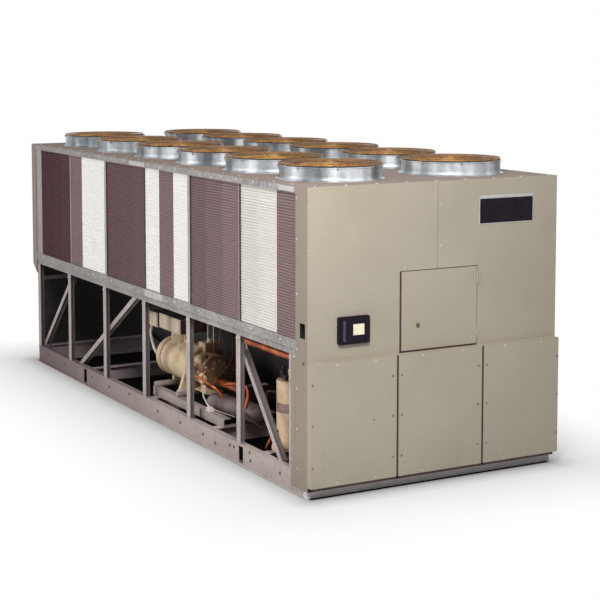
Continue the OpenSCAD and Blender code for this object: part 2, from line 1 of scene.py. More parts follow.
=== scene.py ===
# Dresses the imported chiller: finishes for its solids, and the finer pieces that ride on them.
import math
import bpy
import bmesh
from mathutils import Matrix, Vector


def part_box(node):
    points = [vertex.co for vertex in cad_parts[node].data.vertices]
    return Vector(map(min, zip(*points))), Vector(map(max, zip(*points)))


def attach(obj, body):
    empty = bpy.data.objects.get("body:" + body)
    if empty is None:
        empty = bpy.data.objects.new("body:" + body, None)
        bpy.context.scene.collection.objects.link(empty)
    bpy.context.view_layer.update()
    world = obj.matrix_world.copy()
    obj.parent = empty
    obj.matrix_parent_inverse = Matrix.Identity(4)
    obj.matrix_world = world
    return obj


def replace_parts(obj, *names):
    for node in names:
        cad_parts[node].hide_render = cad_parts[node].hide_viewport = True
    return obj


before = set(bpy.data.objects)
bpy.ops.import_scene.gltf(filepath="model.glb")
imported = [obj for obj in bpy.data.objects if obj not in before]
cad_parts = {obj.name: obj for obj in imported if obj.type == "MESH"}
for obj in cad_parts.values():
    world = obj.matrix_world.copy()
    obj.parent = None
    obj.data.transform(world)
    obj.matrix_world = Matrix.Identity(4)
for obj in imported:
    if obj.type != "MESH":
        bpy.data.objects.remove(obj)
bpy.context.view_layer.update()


# Sizes and places shared with the solids, in metres, read from them

def ends(node, axis):
    """Where a solid begins and ends along an axis."""
    return [corner["xyz".index(axis)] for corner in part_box(node)]


def low(node, axis):
    return ends(node, axis)[0]


def high(node, axis):
    return ends(node, axis)[1]


def middle(node, axis):
    return sum(ends(node, axis)) / 2


SIDES = {-1: "left", 1: "right"}
X, Z = (1, 0, 0), (0, 0, 1)

# Across, from the middle
HALF = high("mid_rail_right", "y")
WEB = high("posts_right", "y")
MULL_Y = high("mullions_right", "y")
COIL_Y0, COIL_Y1 = ends("coil_dark_right", "y")
DOOR_Y0 = low("access_door", "y")
DOOR_Y1 = DOOR_Y0 + 0.68

# Along the length
FRAME0 = low("mid_rail_left", "x")
BASE_X1 = high("base_ends", "x")
BOX0, BOX1 = ends("control_box", "x")
UPPER = high("upper_panel_left", "x")
FRONT = high("lower_panels", "x")

# Upward
BASE_H = high("base_rail_left", "z")
PANEL_Z0, PANEL_Z1 = ends("lower_panels", "z")
SEAM_Z = low("control_box", "z")
DOOR_Z0, DOOR_Z1 = ends("access_door", "z")
MID_Z, MID_TOP = ends("mid_rail_left", "z")
BAFFLE = low("air_baffle", "z") + 0.004
RAIL_Z, RAIL_TOP = ends("top_rail_left", "z")
DECK = high("fan_deck", "z")
RING_TOP = high("fan_rings_left", "z")

# Bays, posts and fans
BAYS = 6
STRIPS = 3
BAY0 = FRAME0 + 0.065
PITCH = (BOX0 - BAY0) / BAYS
POST_W = 0.07
POST_BACK = 0.057
POST_STEP = PITCH * 1.0113
FAN_Y = middle("fan_rings_right", "y")
RING_FLANGE = 0.026
RING_R = high("fan_rings_right", "y") - FAN_Y - RING_FLANGE


def line_x(i):
    """The line between two bays of the coil band."""
    return BAY0 + PITCH * i


def bay_c(i):
    """The middle of a bay, where its two fans stand."""
    return BAY0 + PITCH * (i + 0.5)


def post_at(i):
    """The far edge of a post in the open bays."""
    return BOX0 - PITCH - POST_BACK - (BAYS - 1 - i) * POST_STEP


# Finishes. Colours are sRGB from 0 to 255.
SOIL = (96, 84, 76)
DUST = (104, 94, 80)
# The next two colours are painted shade: first on the faces that look toward the control end, then toward the
# far end.
FACING_SHADE = (66, 50, 52)
FAR_SHADE = (88, 68, 70)
BARE_EDGE = (120, 116, 112)
CHIPPED = (92, 74, 58)
HEAD_BROWN = (104, 68, 46)

# Common ranges of roughness
MATT, SEMI, SATIN = (0.6, 0.8), (0.5, 0.7), (0.4, 0.55)


def lin(c):
    """An sRGB colour of 0 to 255 as a linear one."""
    levels = []
    for v in c:
        v /= 255
        levels.append(v / 12.92 if v <= 0.04045 else ((v + 0.055) / 1.055) ** 2.4)
    return (*levels, 1)


class Graph:
    """A material's node tree with short calls for the nodes used here."""

    def __init__(self, name):
        self.mat = bpy.data.materials.new(name)
        self.mat.use_nodes = True
        self.tree = self.mat.node_tree
        self.tree.nodes.clear()
        self.out = self.add("ShaderNodeOutputMaterial")
        self.bsdf = self.add("ShaderNodeBsdfPrincipled")
        self.link(self.bsdf.outputs[0], self.out.inputs[0])
        self.coord = self.add("ShaderNodeTexCoord").outputs["Object"]

    def add(self, kind, **inputs):
        """A new node, with its inputs fed by their names."""
        n = self.tree.nodes.new(kind)
        for k, v in inputs.items():
            self.feed(n.inputs[k.replace("_", " ")], v)
        return n

    def link(self, a, b):
        self.tree.links.new(a, b)

    def feed(self, sock, v):
        """Gives a socket a colour, a number or a link."""
        if isinstance(v, tuple):
            sock.default_value = lin(v)
        elif isinstance(v, (int, float)):
            sock.default_value = v
        else:
            self.link(v, sock)

    def stretch(self, scale):
        n = self.add("ShaderNodeMapping", Vector=self.coord)
        n.inputs["Scale"].default_value = scale
        return n.outputs[0]

    def noise(self, scale, detail=4, rough=0.55, vec=None, warp=0):
        n = self.add("ShaderNodeTexNoise", Vector=vec or self.coord, Scale=scale, Detail=detail,
                     Roughness=rough, Distortion=warp)
        return n.outputs["Fac"]

    def cells(self, scale):
        n = self.add("ShaderNodeTexVoronoi", Vector=self.coord, Scale=scale)
        return self.add("ShaderNodeSeparateColor", Color=n.outputs["Color"]).outputs[0]

    def math(self, op, a, b=None, clamp=False):
        n = self.add("ShaderNodeMath")
        n.operation = op
        n.use_clamp = clamp
        self.feed(n.inputs[0], a)
        if b is not None:
            self.feed(n.inputs[1], b)
        return n.outputs[0]

    def plus(self, a, b):
        return self.math("ADD", a, b)

    def times(self, a, b, clamp=False):
        return self.math("MULTIPLY", a, b, clamp)

    def blend(self, a, b, share):
        """Two patterns added, the second by its share and the first by the rest."""
        return self.plus(self.times(a, 1 - share), self.times(b, share))

    def span(self, v, a, b, c=0.0, d=1.0):
        """Stretches a value from the range a to b onto c to d."""
        n = self.add("ShaderNodeMapRange", Value=v, From_Min=a, From_Max=b, To_Min=c, To_Max=d)
        return n.outputs[0]

    def ramp(self, v, stops):
        n = self.add("ShaderNodeValToRGB", Fac=v)
        e = n.color_ramp.elements
        while len(e) < len(stops):
            e.new(0.5)
        for k, (p, c) in enumerate(stops):
            e[k].position = p
            e[k].color = lin(c)
        return n.outputs[0]

    def mix(self, fac, a, b):
        n = self.add("ShaderNodeMix")
        n.data_type = "RGBA"
        for k, v in ((0, fac), (6, a), (7, b)):
            self.feed(n.inputs[k], v)
        return n.outputs[2]

    def part(self, vec, k):
        return self.add("ShaderNodeSeparateXYZ", Vector=vec).outputs[k]

    def axis(self, k):
        return self.part(self.coord, k)

    def normal(self):
        return self.add("ShaderNodeNewGeometry").outputs["Normal"]

    def edges(self, radius):
        """About 1 along sharp edges and 0 on flat faces."""
        bev = self.add("ShaderNodeBevel", Radius=radius)
        bev.samples = 4
        dot = self.add("ShaderNodeVectorMath")
        dot.operation = "DOT_PRODUCT"
        self.link(bev.outputs[0], dot.inputs[0])
        self.link(self.normal(), dot.inputs[1])
        return self.span(dot.outputs["Value"], 0.995, 0.8)

    def bump(self, height, strength, distance):
        n = self.add("ShaderNodeBump", Height=height, Strength=strength, Distance=distance)
        self.link(n.outputs[0], self.bsdf.inputs["Normal"])

    def finish(self, colour, rough, metal=0.0, spec=0.5):
        """Links colour and roughness, and sets what is the same all over."""
        for k, v in (("Base Color", colour), ("Roughness", rough), ("Metallic", metal),
                     ("Specular IOR Level", spec)):
            self.feed(self.bsdf.inputs[k], v)
        return self.mat


def sheet_zinc(name, dark, mid, light, metal, rough, grime=0.25, cell=110, part=0.26, far=0.0,
               streak=0.0, grain=0.12, facing_shade=0.0):
    """Zinc coated steel: spangle, white bloom, edges lighter as wear and as a painted highlight, upright
    bands of painted reflection, painted shade darkening the far end, and painted shade on the faces that look
    toward the control end."""
    g = Graph(name)
    spangle = g.cells(cell)
    coarse = g.noise(2.6, 5, 0.6)
    fine = g.noise(34, 4, 0.6)
    tone = g.plus(g.times(spangle, part), g.times(coarse, 0.8 - part))
    tone = g.plus(tone, g.times(fine, 0.2))
    if streak:
        # Upright bands of painted reflection.
        reflection_bands = g.noise(1.0, 2, 0.45, g.stretch((6.5, 6.5, 0.5)))
        tone = g.plus(tone, g.span(reflection_bands, 0.3, 0.7, -streak, streak))
    colour = g.ramp(tone, [(0.25, dark), (0.52, mid), (0.82, light)])
    near_ground = g.span(g.axis(2), 0.0, 0.5, 1.0, 0.0)
    dirt = g.times(g.times(near_ground, g.noise(9, 6, 0.65)), grime, True)
    colour = g.mix(dirt, colour, SOIL)
    # Lighter along every edge: partly wear, partly a painted edge highlight.
    colour = g.mix(g.times(g.edges(0.004), 0.35), colour, light)
    # Painted shade: darker toward the far end.
    if far:
        colour = g.mix(g.span(g.axis(0), 0.6, -2.6, 0.0, far), colour, FAR_SHADE)
    # Painted shade on the faces that look toward the control end.
    if facing_shade:
        facing = g.span(g.part(g.normal(), 0), 0.25, 0.7, 0.0, facing_shade)
        colour = g.mix(g.times(facing, g.span(coarse, 0.3, 0.6, 0.8, 1.0)), colour, FACING_SHADE)
    g.bump(g.plus(g.noise(120, 3), g.times(spangle, 0.3)), grain, 0.002)
    return g.finish(colour, g.span(g.plus(spangle, fine), 0.3, 1.6, *rough), metal)


def paint(name, dark, mid, light, rough=(0.42, 0.58), grime=0.25, spec=0.5):
    """Satin powder coat: orange peel, faint cloudiness, dust near the ground, rubbed edges."""
    g = Graph(name)
    cloud = g.noise(1.1, 5, 0.6)
    colour = g.ramp(g.blend(cloud, g.noise(60, 3, 0.6), 0.25), [(0.3, dark), (0.5, mid), (0.72, light)])
    streak = g.noise(3.0, 5, 0.6, g.stretch((9, 9, 0.7)))
    near_ground = g.span(g.axis(2), 0.05, 0.6, 1.0, 0.12)
    dirt = g.times(g.times(near_ground, g.span(streak, 0.42, 0.75)), grime, True)
    colour = g.mix(dirt, colour, DUST)
    rub = g.times(g.edges(0.003), g.span(g.noise(22, 5), 0.45, 0.7, 0.1, 0.55))
    colour = g.mix(rub, colour, BARE_EDGE)
    g.bump(g.plus(g.noise(220, 2), g.noise(6, 2)), 0.05, 0.002)
    return g.finish(colour, g.span(cloud, 0.3, 0.7, *rough), spec=spec)


def coil_face(name, dark, mid, light, rough):
    """Finned coil face: fine upright fins, a tone for each strip, painted shade between the fins."""
    g = Graph(name)
    strip = g.add("ShaderNodeAttribute")
    strip.attribute_name = "tone"
    grain = g.noise(7, 5, 0.6)
    tone = g.plus(strip.outputs["Fac"], g.span(grain, 0.2, 0.8, -0.07, 0.07))
    colour = g.ramp(tone, [(0.05, dark), (0.5, mid), (0.95, light)])
    fins = g.add("ShaderNodeTexWave", Vector=g.coord, Scale=90, Distortion=0.4)
    fins.bands_direction = "X"
    # Painted shade: darker between the fins.
    colour = g.mix(g.span(fins.outputs["Fac"], 0, 1, 0, 0.18), colour, dark)
    g.bump(fins.outputs["Fac"], 0.25, 0.0015)
    return g.finish(colour, g.span(grain, 0.3, 0.7, *rough), spec=0.15)


def passivated(name):
    """Yellow passivated wire: brown gold, mottled toward rose and green."""
    g = Graph(name)
    fine = g.noise(40, 3)
    tone = g.blend(g.noise(8.0, 4, 0.6, None, 0.6), fine, 0.15)
    colour = g.ramp(tone, [(0.3, (76, 44, 22)), (0.41, (102, 62, 30)), (0.47, (160, 128, 60)),
                           (0.52, (116, 70, 38)), (0.58, (158, 104, 74)), (0.64, (138, 120, 56)),
                           (0.76, (84, 50, 26))])
    g.bump(g.noise(180, 2), 0.08, 0.001)
    return g.finish(colour, g.span(fine, 0.3, 0.7, 0.48, 0.64), 0.4)


def casting(name, dark, mid, light, head_tint=0.0):
    """Paint over rough sand casting, darker in the low spots, chipped, darker brown toward the head."""
    g = Graph(name)
    blot = g.noise(6, 6, 0.62)
    pits = g.noise(90, 4, 0.7)
    colour = g.ramp(g.blend(blot, pits, 0.35), [(0.3, dark), (0.5, mid), (0.7, light)])
    chips = g.times(g.edges(0.006), g.span(g.noise(30, 5), 0.5, 0.62))
    colour = g.mix(g.times(chips, 0.6), colour, CHIPPED)
    if head_tint:
        toward_head = g.span(g.axis(0), 0.42, 0.58, 0.0, head_tint)
        tint = g.times(toward_head, g.span(blot, 0.3, 0.6, 0.6, 1))
        colour = g.mix(tint, colour, HEAD_BROWN)
    g.bump(g.plus(pits, g.noise(28, 4)), 0.35, 0.004)
    return g.finish(colour, g.span(pits, 0.3, 0.7, 0.4, 0.62))


def tube_copper(name, dark, mid, light):
    """Drawn copper tube with tarnish and darker heat marks."""
    g = Graph(name)
    blot = g.noise(8, 6, 0.65)
    fine = g.noise(70, 3)
    colour = g.ramp(g.blend(blot, fine, 0.25), [(0.3, dark), (0.5, mid), (0.72, light)])
    g.bump(fine, 0.06, 0.001)
    return g.finish(colour, g.span(blot, 0.3, 0.7, 0.26, 0.5), 0.8)


def dull(name, dark, mid, light, rough, scale=14, bump=0.2, metal=0.0, spec=0.5):
    """Rubber, foam, moulded plastic, dull paint and small metal: mottled, with a fine grain."""
    g = Graph(name)
    grain = g.noise(scale * 14, 3, 0.6)
    tone = g.blend(g.noise(scale, 5, 0.6), grain, 0.3)
    colour = g.ramp(tone, [(0.3, dark), (0.5, mid), (0.72, light)])
    # Lighter along the edges: a painted edge highlight.
    colour = g.mix(g.times(g.edges(0.003), 0.3), colour, light)
    g.bump(grain, bump, 0.0015)
    return g.finish(colour, g.span(grain, 0.3, 0.7, *rough), metal, spec)


# Zinc coated sheet
GALV = sheet_zinc("galvanised_sheet", (132, 123, 121), (172, 162, 159), (208, 202, 199), 0.3,
                  (0.4, 0.62), far=0.5)
FRAME = sheet_zinc("frame_zinc", (136, 127, 124), (178, 168, 164), (212, 206, 203), 0.3,
                   (0.4, 0.62), far=0.28, facing_shade=0.85)
RAIL = sheet_zinc("galvanised_rail", (112, 107, 106), (150, 145, 142), (186, 184, 182), 0.3,
                  (0.4, 0.6), cell=64, part=0.3, far=0.32)
MULLION = sheet_zinc("galvanised_mullion", (132, 127, 124), (164, 159, 155), (190, 186, 183), 0.2,
                     (0.45, 0.62), grime=0.0, far=0.2)
BASE = sheet_zinc("galvanised_base", (150, 136, 131), (182, 169, 164), (200, 188, 183), 0.1,
                  SEMI, grime=0.3, far=0.92)
BEAM = sheet_zinc("beam_zinc", (160, 142, 146), (190, 172, 175), (212, 198, 200), 0.1, SEMI, grime=0.1)
SKID = sheet_zinc("skid_zinc", (142, 129, 125), (166, 152, 148), (190, 177, 172), 0.1, SEMI, grime=0.1)
RING = sheet_zinc("bright_ring", (94, 98, 102), (152, 156, 160), (214, 218, 222), 0.5,
                  (0.38, 0.5), grime=0.0, cell=160, part=0.06, streak=0.34, grain=0.04)

# Powder coat
BEIGE = paint("beige_coat", (154, 146, 130), (163, 155, 139), (170, 162, 146), grime=0.1)
# The sides take a darker copy of the beige coat: painted shade.
SIDE = paint("beige_coat_shaded", (129, 116, 101), (140, 127, 112), (150, 137, 122), grime=0.12)
COVER = paint("shaded_coat", (116, 101, 92), (130, 114, 104), (142, 126, 116))
TERM = paint("terminal_coat", (192, 175, 148), (212, 195, 167), (226, 210, 183))
DECK_PAINT = paint("deck_coat", (133, 118, 109), (145, 130, 121), (157, 142, 133), (0.78, 0.92),
                   spec=0.2)

# Coils, guards, castings and tube
DARK_COIL = coil_face("coil_shade", (72, 42, 48), (130, 107, 109), (172, 150, 150), MATT)
PALE_COIL = coil_face("coil_bright", (214, 210, 201), (244, 244, 240), (252, 252, 250), SEMI)
GOLD = passivated("passivated_wire")
TAN = casting("cast_tan", (182, 154, 120), (222, 194, 158), (238, 214, 182))
HEADED = casting("cast_compressor", (178, 150, 116), (220, 194, 158), (236, 212, 180), head_tint=1.0)
BROWN = casting("cast_brown", (50, 31, 21), (114, 79, 54), (192, 160, 120))
COPPER = tube_copper("copper_tube", (90, 42, 24), (184, 96, 54), (220, 136, 84))
AGED = tube_copper("aged_copper", (30, 14, 11), (62, 29, 22), (96, 50, 35))

# Rubber, foam, plastic, dull paint and small metal
# Black for the vent linings: painted shade.
VENT_SHADE = dull("vent_black_shade", (14, 14, 15), (24, 24, 25), (40, 40, 42), MATT)
SHELL = dull("vessel_foam", (18, 14, 16), (26, 20, 22), (40, 33, 36), MATT, 6)
WRAP = dull("grey_wrap", (88, 72, 72), (114, 98, 97), (142, 126, 124), SEMI, 10, 0.3)
BLACK = dull("black_moulding", (14, 9, 15), (24, 16, 26), (40, 30, 43), (0.5, 0.65), 30, 0.1, spec=0.12)
# A lighter copy of the black moulding: painted highlight on the controller's raised strip.
STRIP_HIGHLIGHT = dull("moulding_highlight", (46, 37, 50), (60, 50, 65), (82, 70, 88), SATIN, 30, 0.1)
SCREEN = dull("display_cream", (214, 204, 172), (232, 224, 196), (240, 234, 210), (0.2, 0.3), 40, 0.02)
DARK = dull("dark_paint_and_shade", (20, 19, 19), (34, 32, 32), (52, 49, 48), SEMI)
MAROON = dull("shaded_maroon", (40, 22, 26), (56, 34, 38), (76, 50, 52), MATT)
SHADE = dull("shaded_fitting", (52, 35, 35), (78, 56, 55), (104, 80, 77), MATT)
PALE = dull("pale_fitting", (196, 190, 180), (216, 211, 201), (232, 228, 220), (0.4, 0.6), 20, 0.1)
LABEL = dull("bare_label", (128, 104, 100), (152, 126, 121), (172, 148, 142), (0.5, 0.6), 40, 0.05)
# A paler copy of the base zinc for a strip in shade: painted light.
TOE = dull("toe_zinc_lightened", (212, 204, 204), (228, 220, 221), (240, 234, 235), SEMI, 18, 0.1)
PLATE = dull("plate_zinc", (168, 164, 164), (186, 183, 183), (204, 202, 202), SATIN, 24, 0.08, 0.2)
BOLT = dull("brown_bolt", (70, 58, 54), (96, 82, 77), (124, 110, 104), (0.5, 0.65), 60)
SCREW = dull("painted_screw", (92, 80, 70), (112, 100, 88), (140, 128, 114), SATIN, 60)
BRIGHT = dull("bright_screw", (174, 166, 152), (192, 185, 171), (208, 202, 190), (0.35, 0.5), 60)
LOCK = dull("lock_zinc", (70, 66, 62), (98, 93, 88), (140, 134, 128), (0.3, 0.45), 60, 0.1, 0.4)
ZINC = dull("zinc_fastener", (130, 130, 130), (176, 176, 176), (214, 214, 212), (0.3, 0.5), 60, 0.1, 0.5)

# The finish of each solid, by the beginning of its name
FINISH = {
    "base_rail": BASE, "base_ends": BEAM, "base_cross": BEAM, "posts": FRAME, "braces": FRAME,
    "mid_rail": RAIL, "top_rail": RAIL, "mullions": MULLION, "far_end_crossbar": GALV,
    # The far end panel, air baffle and front frame take the dark finish as painted shade.
    "far_end_panel": DARK, "far_end_cover": COVER, "air_baffle": DARK, "front_frame": DARK,
    "coil_dark": DARK_COIL, "coil_light": PALE_COIL,
    "fan_deck": DECK_PAINT, "fan_rings": RING, "fan_guards": GOLD, "fan_rotors": DARK,
    "fan_motors": DARK,
    "control_box": SIDE, "side_panels": SIDE, "upper_panel": BEIGE, "lower_panels": BEIGE,
    "access_door": BEIGE, "controller": BLACK, "name_plate": BLACK,
    "compressors": HEADED, "compressor_skids": SKID, "terminal_boxes": TERM, "evaporator": SHELL,
    "oil_separators": TAN, "copper_pipes": COPPER, "suction_headers": WRAP,
}
for node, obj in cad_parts.items():
    key = max((k for k in FINISH if node.startswith(k)), key=len)
    obj.data.materials.clear()
    obj.data.materials.append(FINISH[key])


# Shapes

def box(bm, lo, hi):
    v = [bm.verts.new((x, y, z)) for x in (lo[0], hi[0]) for y in (lo[1], hi[1])
         for z in (lo[2], hi[2])]
    for a in ((0, 1, 3, 2), (4, 6, 7, 5), (0, 4, 5, 1), (2, 3, 7, 6), (0, 2, 6, 4), (1, 5, 7, 3)):
        bm.faces.new([v[i] for i in a])


def ybox(bm, s, x0, x1, y0, y1, z0, z1):
    """A box on the left or right side, its y given outward from the middle."""
    ys = sorted((s * y0, s * y1))
    box(bm, (x0, ys[0], z0), (x1, ys[1], z1))


def out(s, x, y, z):
    """A point on the left or right side, its y given outward from the middle."""
    return Vector((x, s * y, z))


def turns(n, start=0):
    """The angles of n steps round a circle, from a share of a step on."""
    return [2 * math.pi * (k + start) / n for k in range(n)]


def circle(bm, at, u, w, r, seg):
    """A ring of points about a place, in the plane of two directions."""
    return [bm.verts.new(at + (u * math.cos(a) + w * math.sin(a)) * r) for a in turns(seg)]


def lathe(bm, origin, axis, profile, seg):
    """Turns a list of (distance along the axis, radius) about the axis."""
    a = Vector(axis).normalized()
    u = a.orthogonal().normalized()
    w = a.cross(u)
    rows = []
    for t, r in profile:
        at = Vector(origin) + a * t
        rows.append(circle(bm, at, u, w, r, seg) if r > 1e-6 else [bm.verts.new(at)])
    for p, q in zip(rows, rows[1:]):
        for i in range(seg):
            j = (i + 1) % seg
            bm.faces.new((p[i], p[j], q[0]) if len(q) == 1 else (p[i], p[j], q[j], q[i]))


def sweep(bm, path, r, seg, closed=False):
    """A round tube along a path."""
    pts = [Vector(p) for p in path]
    n = len(pts)
    rows = []
    u = None
    for i, p in enumerate(pts):
        if closed:
            t = (pts[(i + 1) % n] - pts[i - 1]).normalized()
        else:
            t = (pts[min(i + 1, n - 1)] - pts[max(i - 1, 0)]).normalized()
        u = t.orthogonal().normalized() if u is None else (u - t * u.dot(t)).normalized()
        rows.append(circle(bm, p, u, t.cross(u), r, seg))
    pairs = list(zip(rows, rows[1:]))
    if closed:
        pairs.append((rows[-1], rows[0]))
    for p, q in pairs:
        for j in range(seg):
            k = (j + 1) % seg
            bm.faces.new((p[j], p[k], q[k], q[j]))
    if not closed:
        bm.faces.new(rows[0][::-1])
        bm.faces.new(rows[-1])


def rounded(pts, rad, n=6):
    """A path with its corners rounded."""
    pts = [Vector(p) for p in pts]
    path = [pts[0]]
    for a, b, c in zip(pts, pts[1:], pts[2:]):
        d = min(rad, (a - b).length * 0.48, (c - b).length * 0.48)
        p, q = b + (a - b).normalized() * d, b + (c - b).normalized() * d
        for i in range(n + 1):
            t = i / n
            path.append(p * (1 - t) ** 2 + b * 2 * t * (1 - t) + q * t * t)
    path.append(pts[-1])
    return path


def boss(r, h, drop, inset):
    """Profile of a short cylinder with a bevelled end."""
    return [(0, r), (h - drop, r), (h, r - inset), (h, 0)]


def screw(bm, at, axis, r, h=0.004):
    """A low domed head on a washer."""
    lathe(bm, at, axis, [(0, r * 1.5), (h * 0.3, r * 1.5), (h * 0.35, r), (h * 0.8, r * 0.85),
                         (h, r * 0.45), (h, 0)], 10)


def hexbolt(bm, at, axis, r, h, washer=0.002):
    """A six sided head on a washer."""
    lathe(bm, at, axis, [(0, r * 1.55), (washer, r * 1.55), (washer, 0)], 14)
    lathe(bm, Vector(at) + Vector(axis).normalized() * washer, axis,
          [(0, r), (h * 0.8, r), (h, r * 0.8), (h, 0)], 6)


def piece(name, bm, mat, slot, body="chiller", smooth=True, angle=35):
    """Turns a mesh into a piece that rides on a body."""
    bmesh.ops.recalc_face_normals(bm, faces=bm.faces)
    if smooth:
        for f in bm.faces:
            f.smooth = True
        for e in bm.edges:
            if len(e.link_faces) == 2:
                e.smooth = e.calc_face_angle(0) < math.radians(angle)
    me = bpy.data.meshes.new(name)
    bm.to_mesh(me)
    bm.free()
    obj = bpy.data.objects.new(name, me)
    bpy.context.collection.objects.link(obj)
    me.materials.append(mat)
    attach(obj, body)
    return obj


def single(mat, slot, body="chiller"):
    """Adds a piece: the function under this line makes its shape and gives it its name."""
    def add(make):
        bm = bmesh.new()
        make(bm)
        piece(make.__name__, bm, mat, slot, body)
        return make
    return add


def paired(mat, slot, **kw):
    """The same for a shape that is made once on the left side and once on the right."""
    def add(make):
        bm = bmesh.new()
        for s in SIDES:
            make(bm, s)
        piece(make.__name__, bm, mat, slot, **kw)
        return make
    return add


# Fan guards: close rings of wire on a nearly flat dome, carried by spokes, a hoop and clips
GUARD_R, GUARD_LIFT, GUARD_RISE = 0.392, 0.014, 0.006
GUARD_RINGS, GUARD_SPOKES, GUARD_CLIPS = 15, 12, 8
WIRE_R, HOOP_R, CLIP_R = 0.0034, 0.0056, 0.004
SPOKE_DROP, SPOKE_STEPS, SPOKE_START = 0.005, 8, 0.045
GUARD_HUB = boss(0.03, 0.006, 0.002, 0.012)


def dome(r):
    """Height of the guard at a radius."""
    return RING_TOP + GUARD_LIFT + GUARD_RISE * (1 - (r / GUARD_R) ** 2)


def guards(side):
    bm = bmesh.new()
    for i in range(BAYS):
        cx, cy = bay_c(i), side * FAN_Y

        def at(r, a, z):
            return Vector((cx + r * math.cos(a), cy + r * math.sin(a), z))
        for k in range(1, GUARD_RINGS + 1):
            r = GUARD_R * k / GUARD_RINGS
            sweep(bm, [at(r, a, dome(r)) for a in turns(28 + 3 * k)],
                  WIRE_R if k < GUARD_RINGS else HOOP_R, 4, True)
        spoke = [GUARD_R * (SPOKE_START + (1 - SPOKE_START) * t / SPOKE_STEPS)
                 for t in range(SPOKE_STEPS + 1)]
        for a in turns(GUARD_SPOKES, 0.3):
            sweep(bm, [at(r, a, dome(r) - SPOKE_DROP) for r in spoke], WIRE_R, 4)
        for a in turns(GUARD_CLIPS, 0.5):
            sweep(bm, [at(GUARD_R - 0.004, a, dome(GUARD_R)),
                       at(RING_R + 0.0085, a, RING_TOP + 0.004),
                       at(RING_R + 0.0095, a, RING_TOP - 0.02)], CLIP_R, 5)
        lathe(bm, (cx, cy, dome(0) - 0.002), Z, GUARD_HUB, 16)
    return piece("wire_guards_" + SIDES[side], bm, GOLD, "guard_gold")


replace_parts(guards(-1), "fan_guards_left")
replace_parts(guards(1), "fan_guards_right")


# Coil faces: a folded sheet of close louvres for each strip, with a frame edge.
# Each bay from the far end has the tones of its strips; the pale strips are the bright coils.
ROWS = 49
TONES = ((0.04, 0.06, 0.1), (0.6, 0.92, 0.92), (0.28, 0.3, 0.34),
         (0.8, 0.58, 0.8), (0.46, 0.54, 0.62), (0.14, 0.2, 0.58))
PALE_STRIPS = {(1, 1), (1, 2), (3, 0), (3, 2), (5, 0), (5, 1)}
MULL_END, MULL_WIDE, MULL_THIN = 0.17, 0.046, 0.014
# One louvre: depth behind the face, and height as a share of its row
LOUVRE = ((0.008, 0.05), (0.001, 0.2), (0.0, 0.5), (0.002, 0.86), (0.008, 0.95))
STRIP_GAP = 0.0005
EDGE_W, EDGE_D = 0.004, 0.012


def mull(i):
    """Width of the mullion on a bay line."""
    return {0: MULL_END, 2: MULL_WIDE, 4: MULL_WIDE}.get(i, MULL_THIN)


def coils(side, light):
    bm = bmesh.new()
    tone = bm.faces.layers.float.new("tone")
    h = (RAIL_Z - MID_TOP) / ROWS
    fold = [(COIL_Y1 - d, MID_TOP + h * (k + t)) for k in range(ROWS) for d, t in LOUVRE]
    fold += [(COIL_Y0, RAIL_Z), (COIL_Y0, MID_TOP)]
    for bay in range(BAYS):
        wide = (PITCH - mull(bay) / 2 - mull(bay + 1) / 2) / STRIPS
        for n in range(STRIPS):
            if ((bay, n) in PALE_STRIPS) != light:
                continue
            before = set(bm.faces)
            x0 = line_x(bay) + mull(bay) / 2 + wide * n
            x1 = x0 + wide
            a = [bm.verts.new((x0 + STRIP_GAP, side * y, z)) for y, z in fold]
            b = [bm.verts.new((x1 - STRIP_GAP, side * y, z)) for y, z in fold]
            for i in range(len(fold)):
                j = (i + 1) % len(fold)
                bm.faces.new((a[i], a[j], b[j], b[i]))
            bm.faces.new(a)
            bm.faces.new(b)
            for x in (x0, x1 - EDGE_W):
                ybox(bm, side, x, x + EDGE_W, COIL_Y1 - EDGE_D, COIL_Y1 - 0.0005, MID_TOP, RAIL_Z)
            for f in set(bm.faces) - before:
                f[tone] = TONES[bay][n]
    name = ("coil_pale_" if light else "coil_shade_") + SIDES[side]
    return piece(name, bm, PALE_COIL if light else DARK_COIL,
                 "coil_light" if light else "coil_dark", smooth=False)


for s, word in SIDES.items():
    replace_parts(coils(s, False), "coil_dark_" + word)
    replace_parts(coils(s, True), "coil_light_" + word)

# Dark strips beside the inner mullions, painted shade in the gaps there: bay line, and where the strip begins
# and ends from it
GAP_SHADES = ((3, -0.0075, 0.0075), (5, 0.0072, 0.022), (4, 0.0232, 0.032), (2, 0.0232, 0.03))


@paired(MAROON, "dark_metal")
def coil_gap_shade(bm, s):
    for i, x0, x1 in GAP_SHADES:
        ybox(bm, s, line_x(i) + x0, line_x(i) + x1, COIL_Y1 - 0.01, COIL_Y1 + 0.0075,
             MID_TOP + 0.001, RAIL_Z - 0.001)


# Fasteners on the sheet metal
PANEL_COLUMNS = (-1.106, -0.421, -0.343, 0.35, 0.43, 1.106)
PANEL_ROWS = (0.25, 0.56, 0.86)
PANEL_EDGE_Y = (-0.9, -0.57, -0.16, 0.2, 0.6, 0.95)


@single(SCREW, "beige_paint")
def panel_screws(bm):
    """Dark screws down the sides of the lower panels."""
    for y in PANEL_COLUMNS:
        for z in PANEL_ROWS:
            screw(bm, (FRONT, y, z), X, 0.006)
    screw(bm, (FRONT, -0.585, 0.55), X, 0.005)


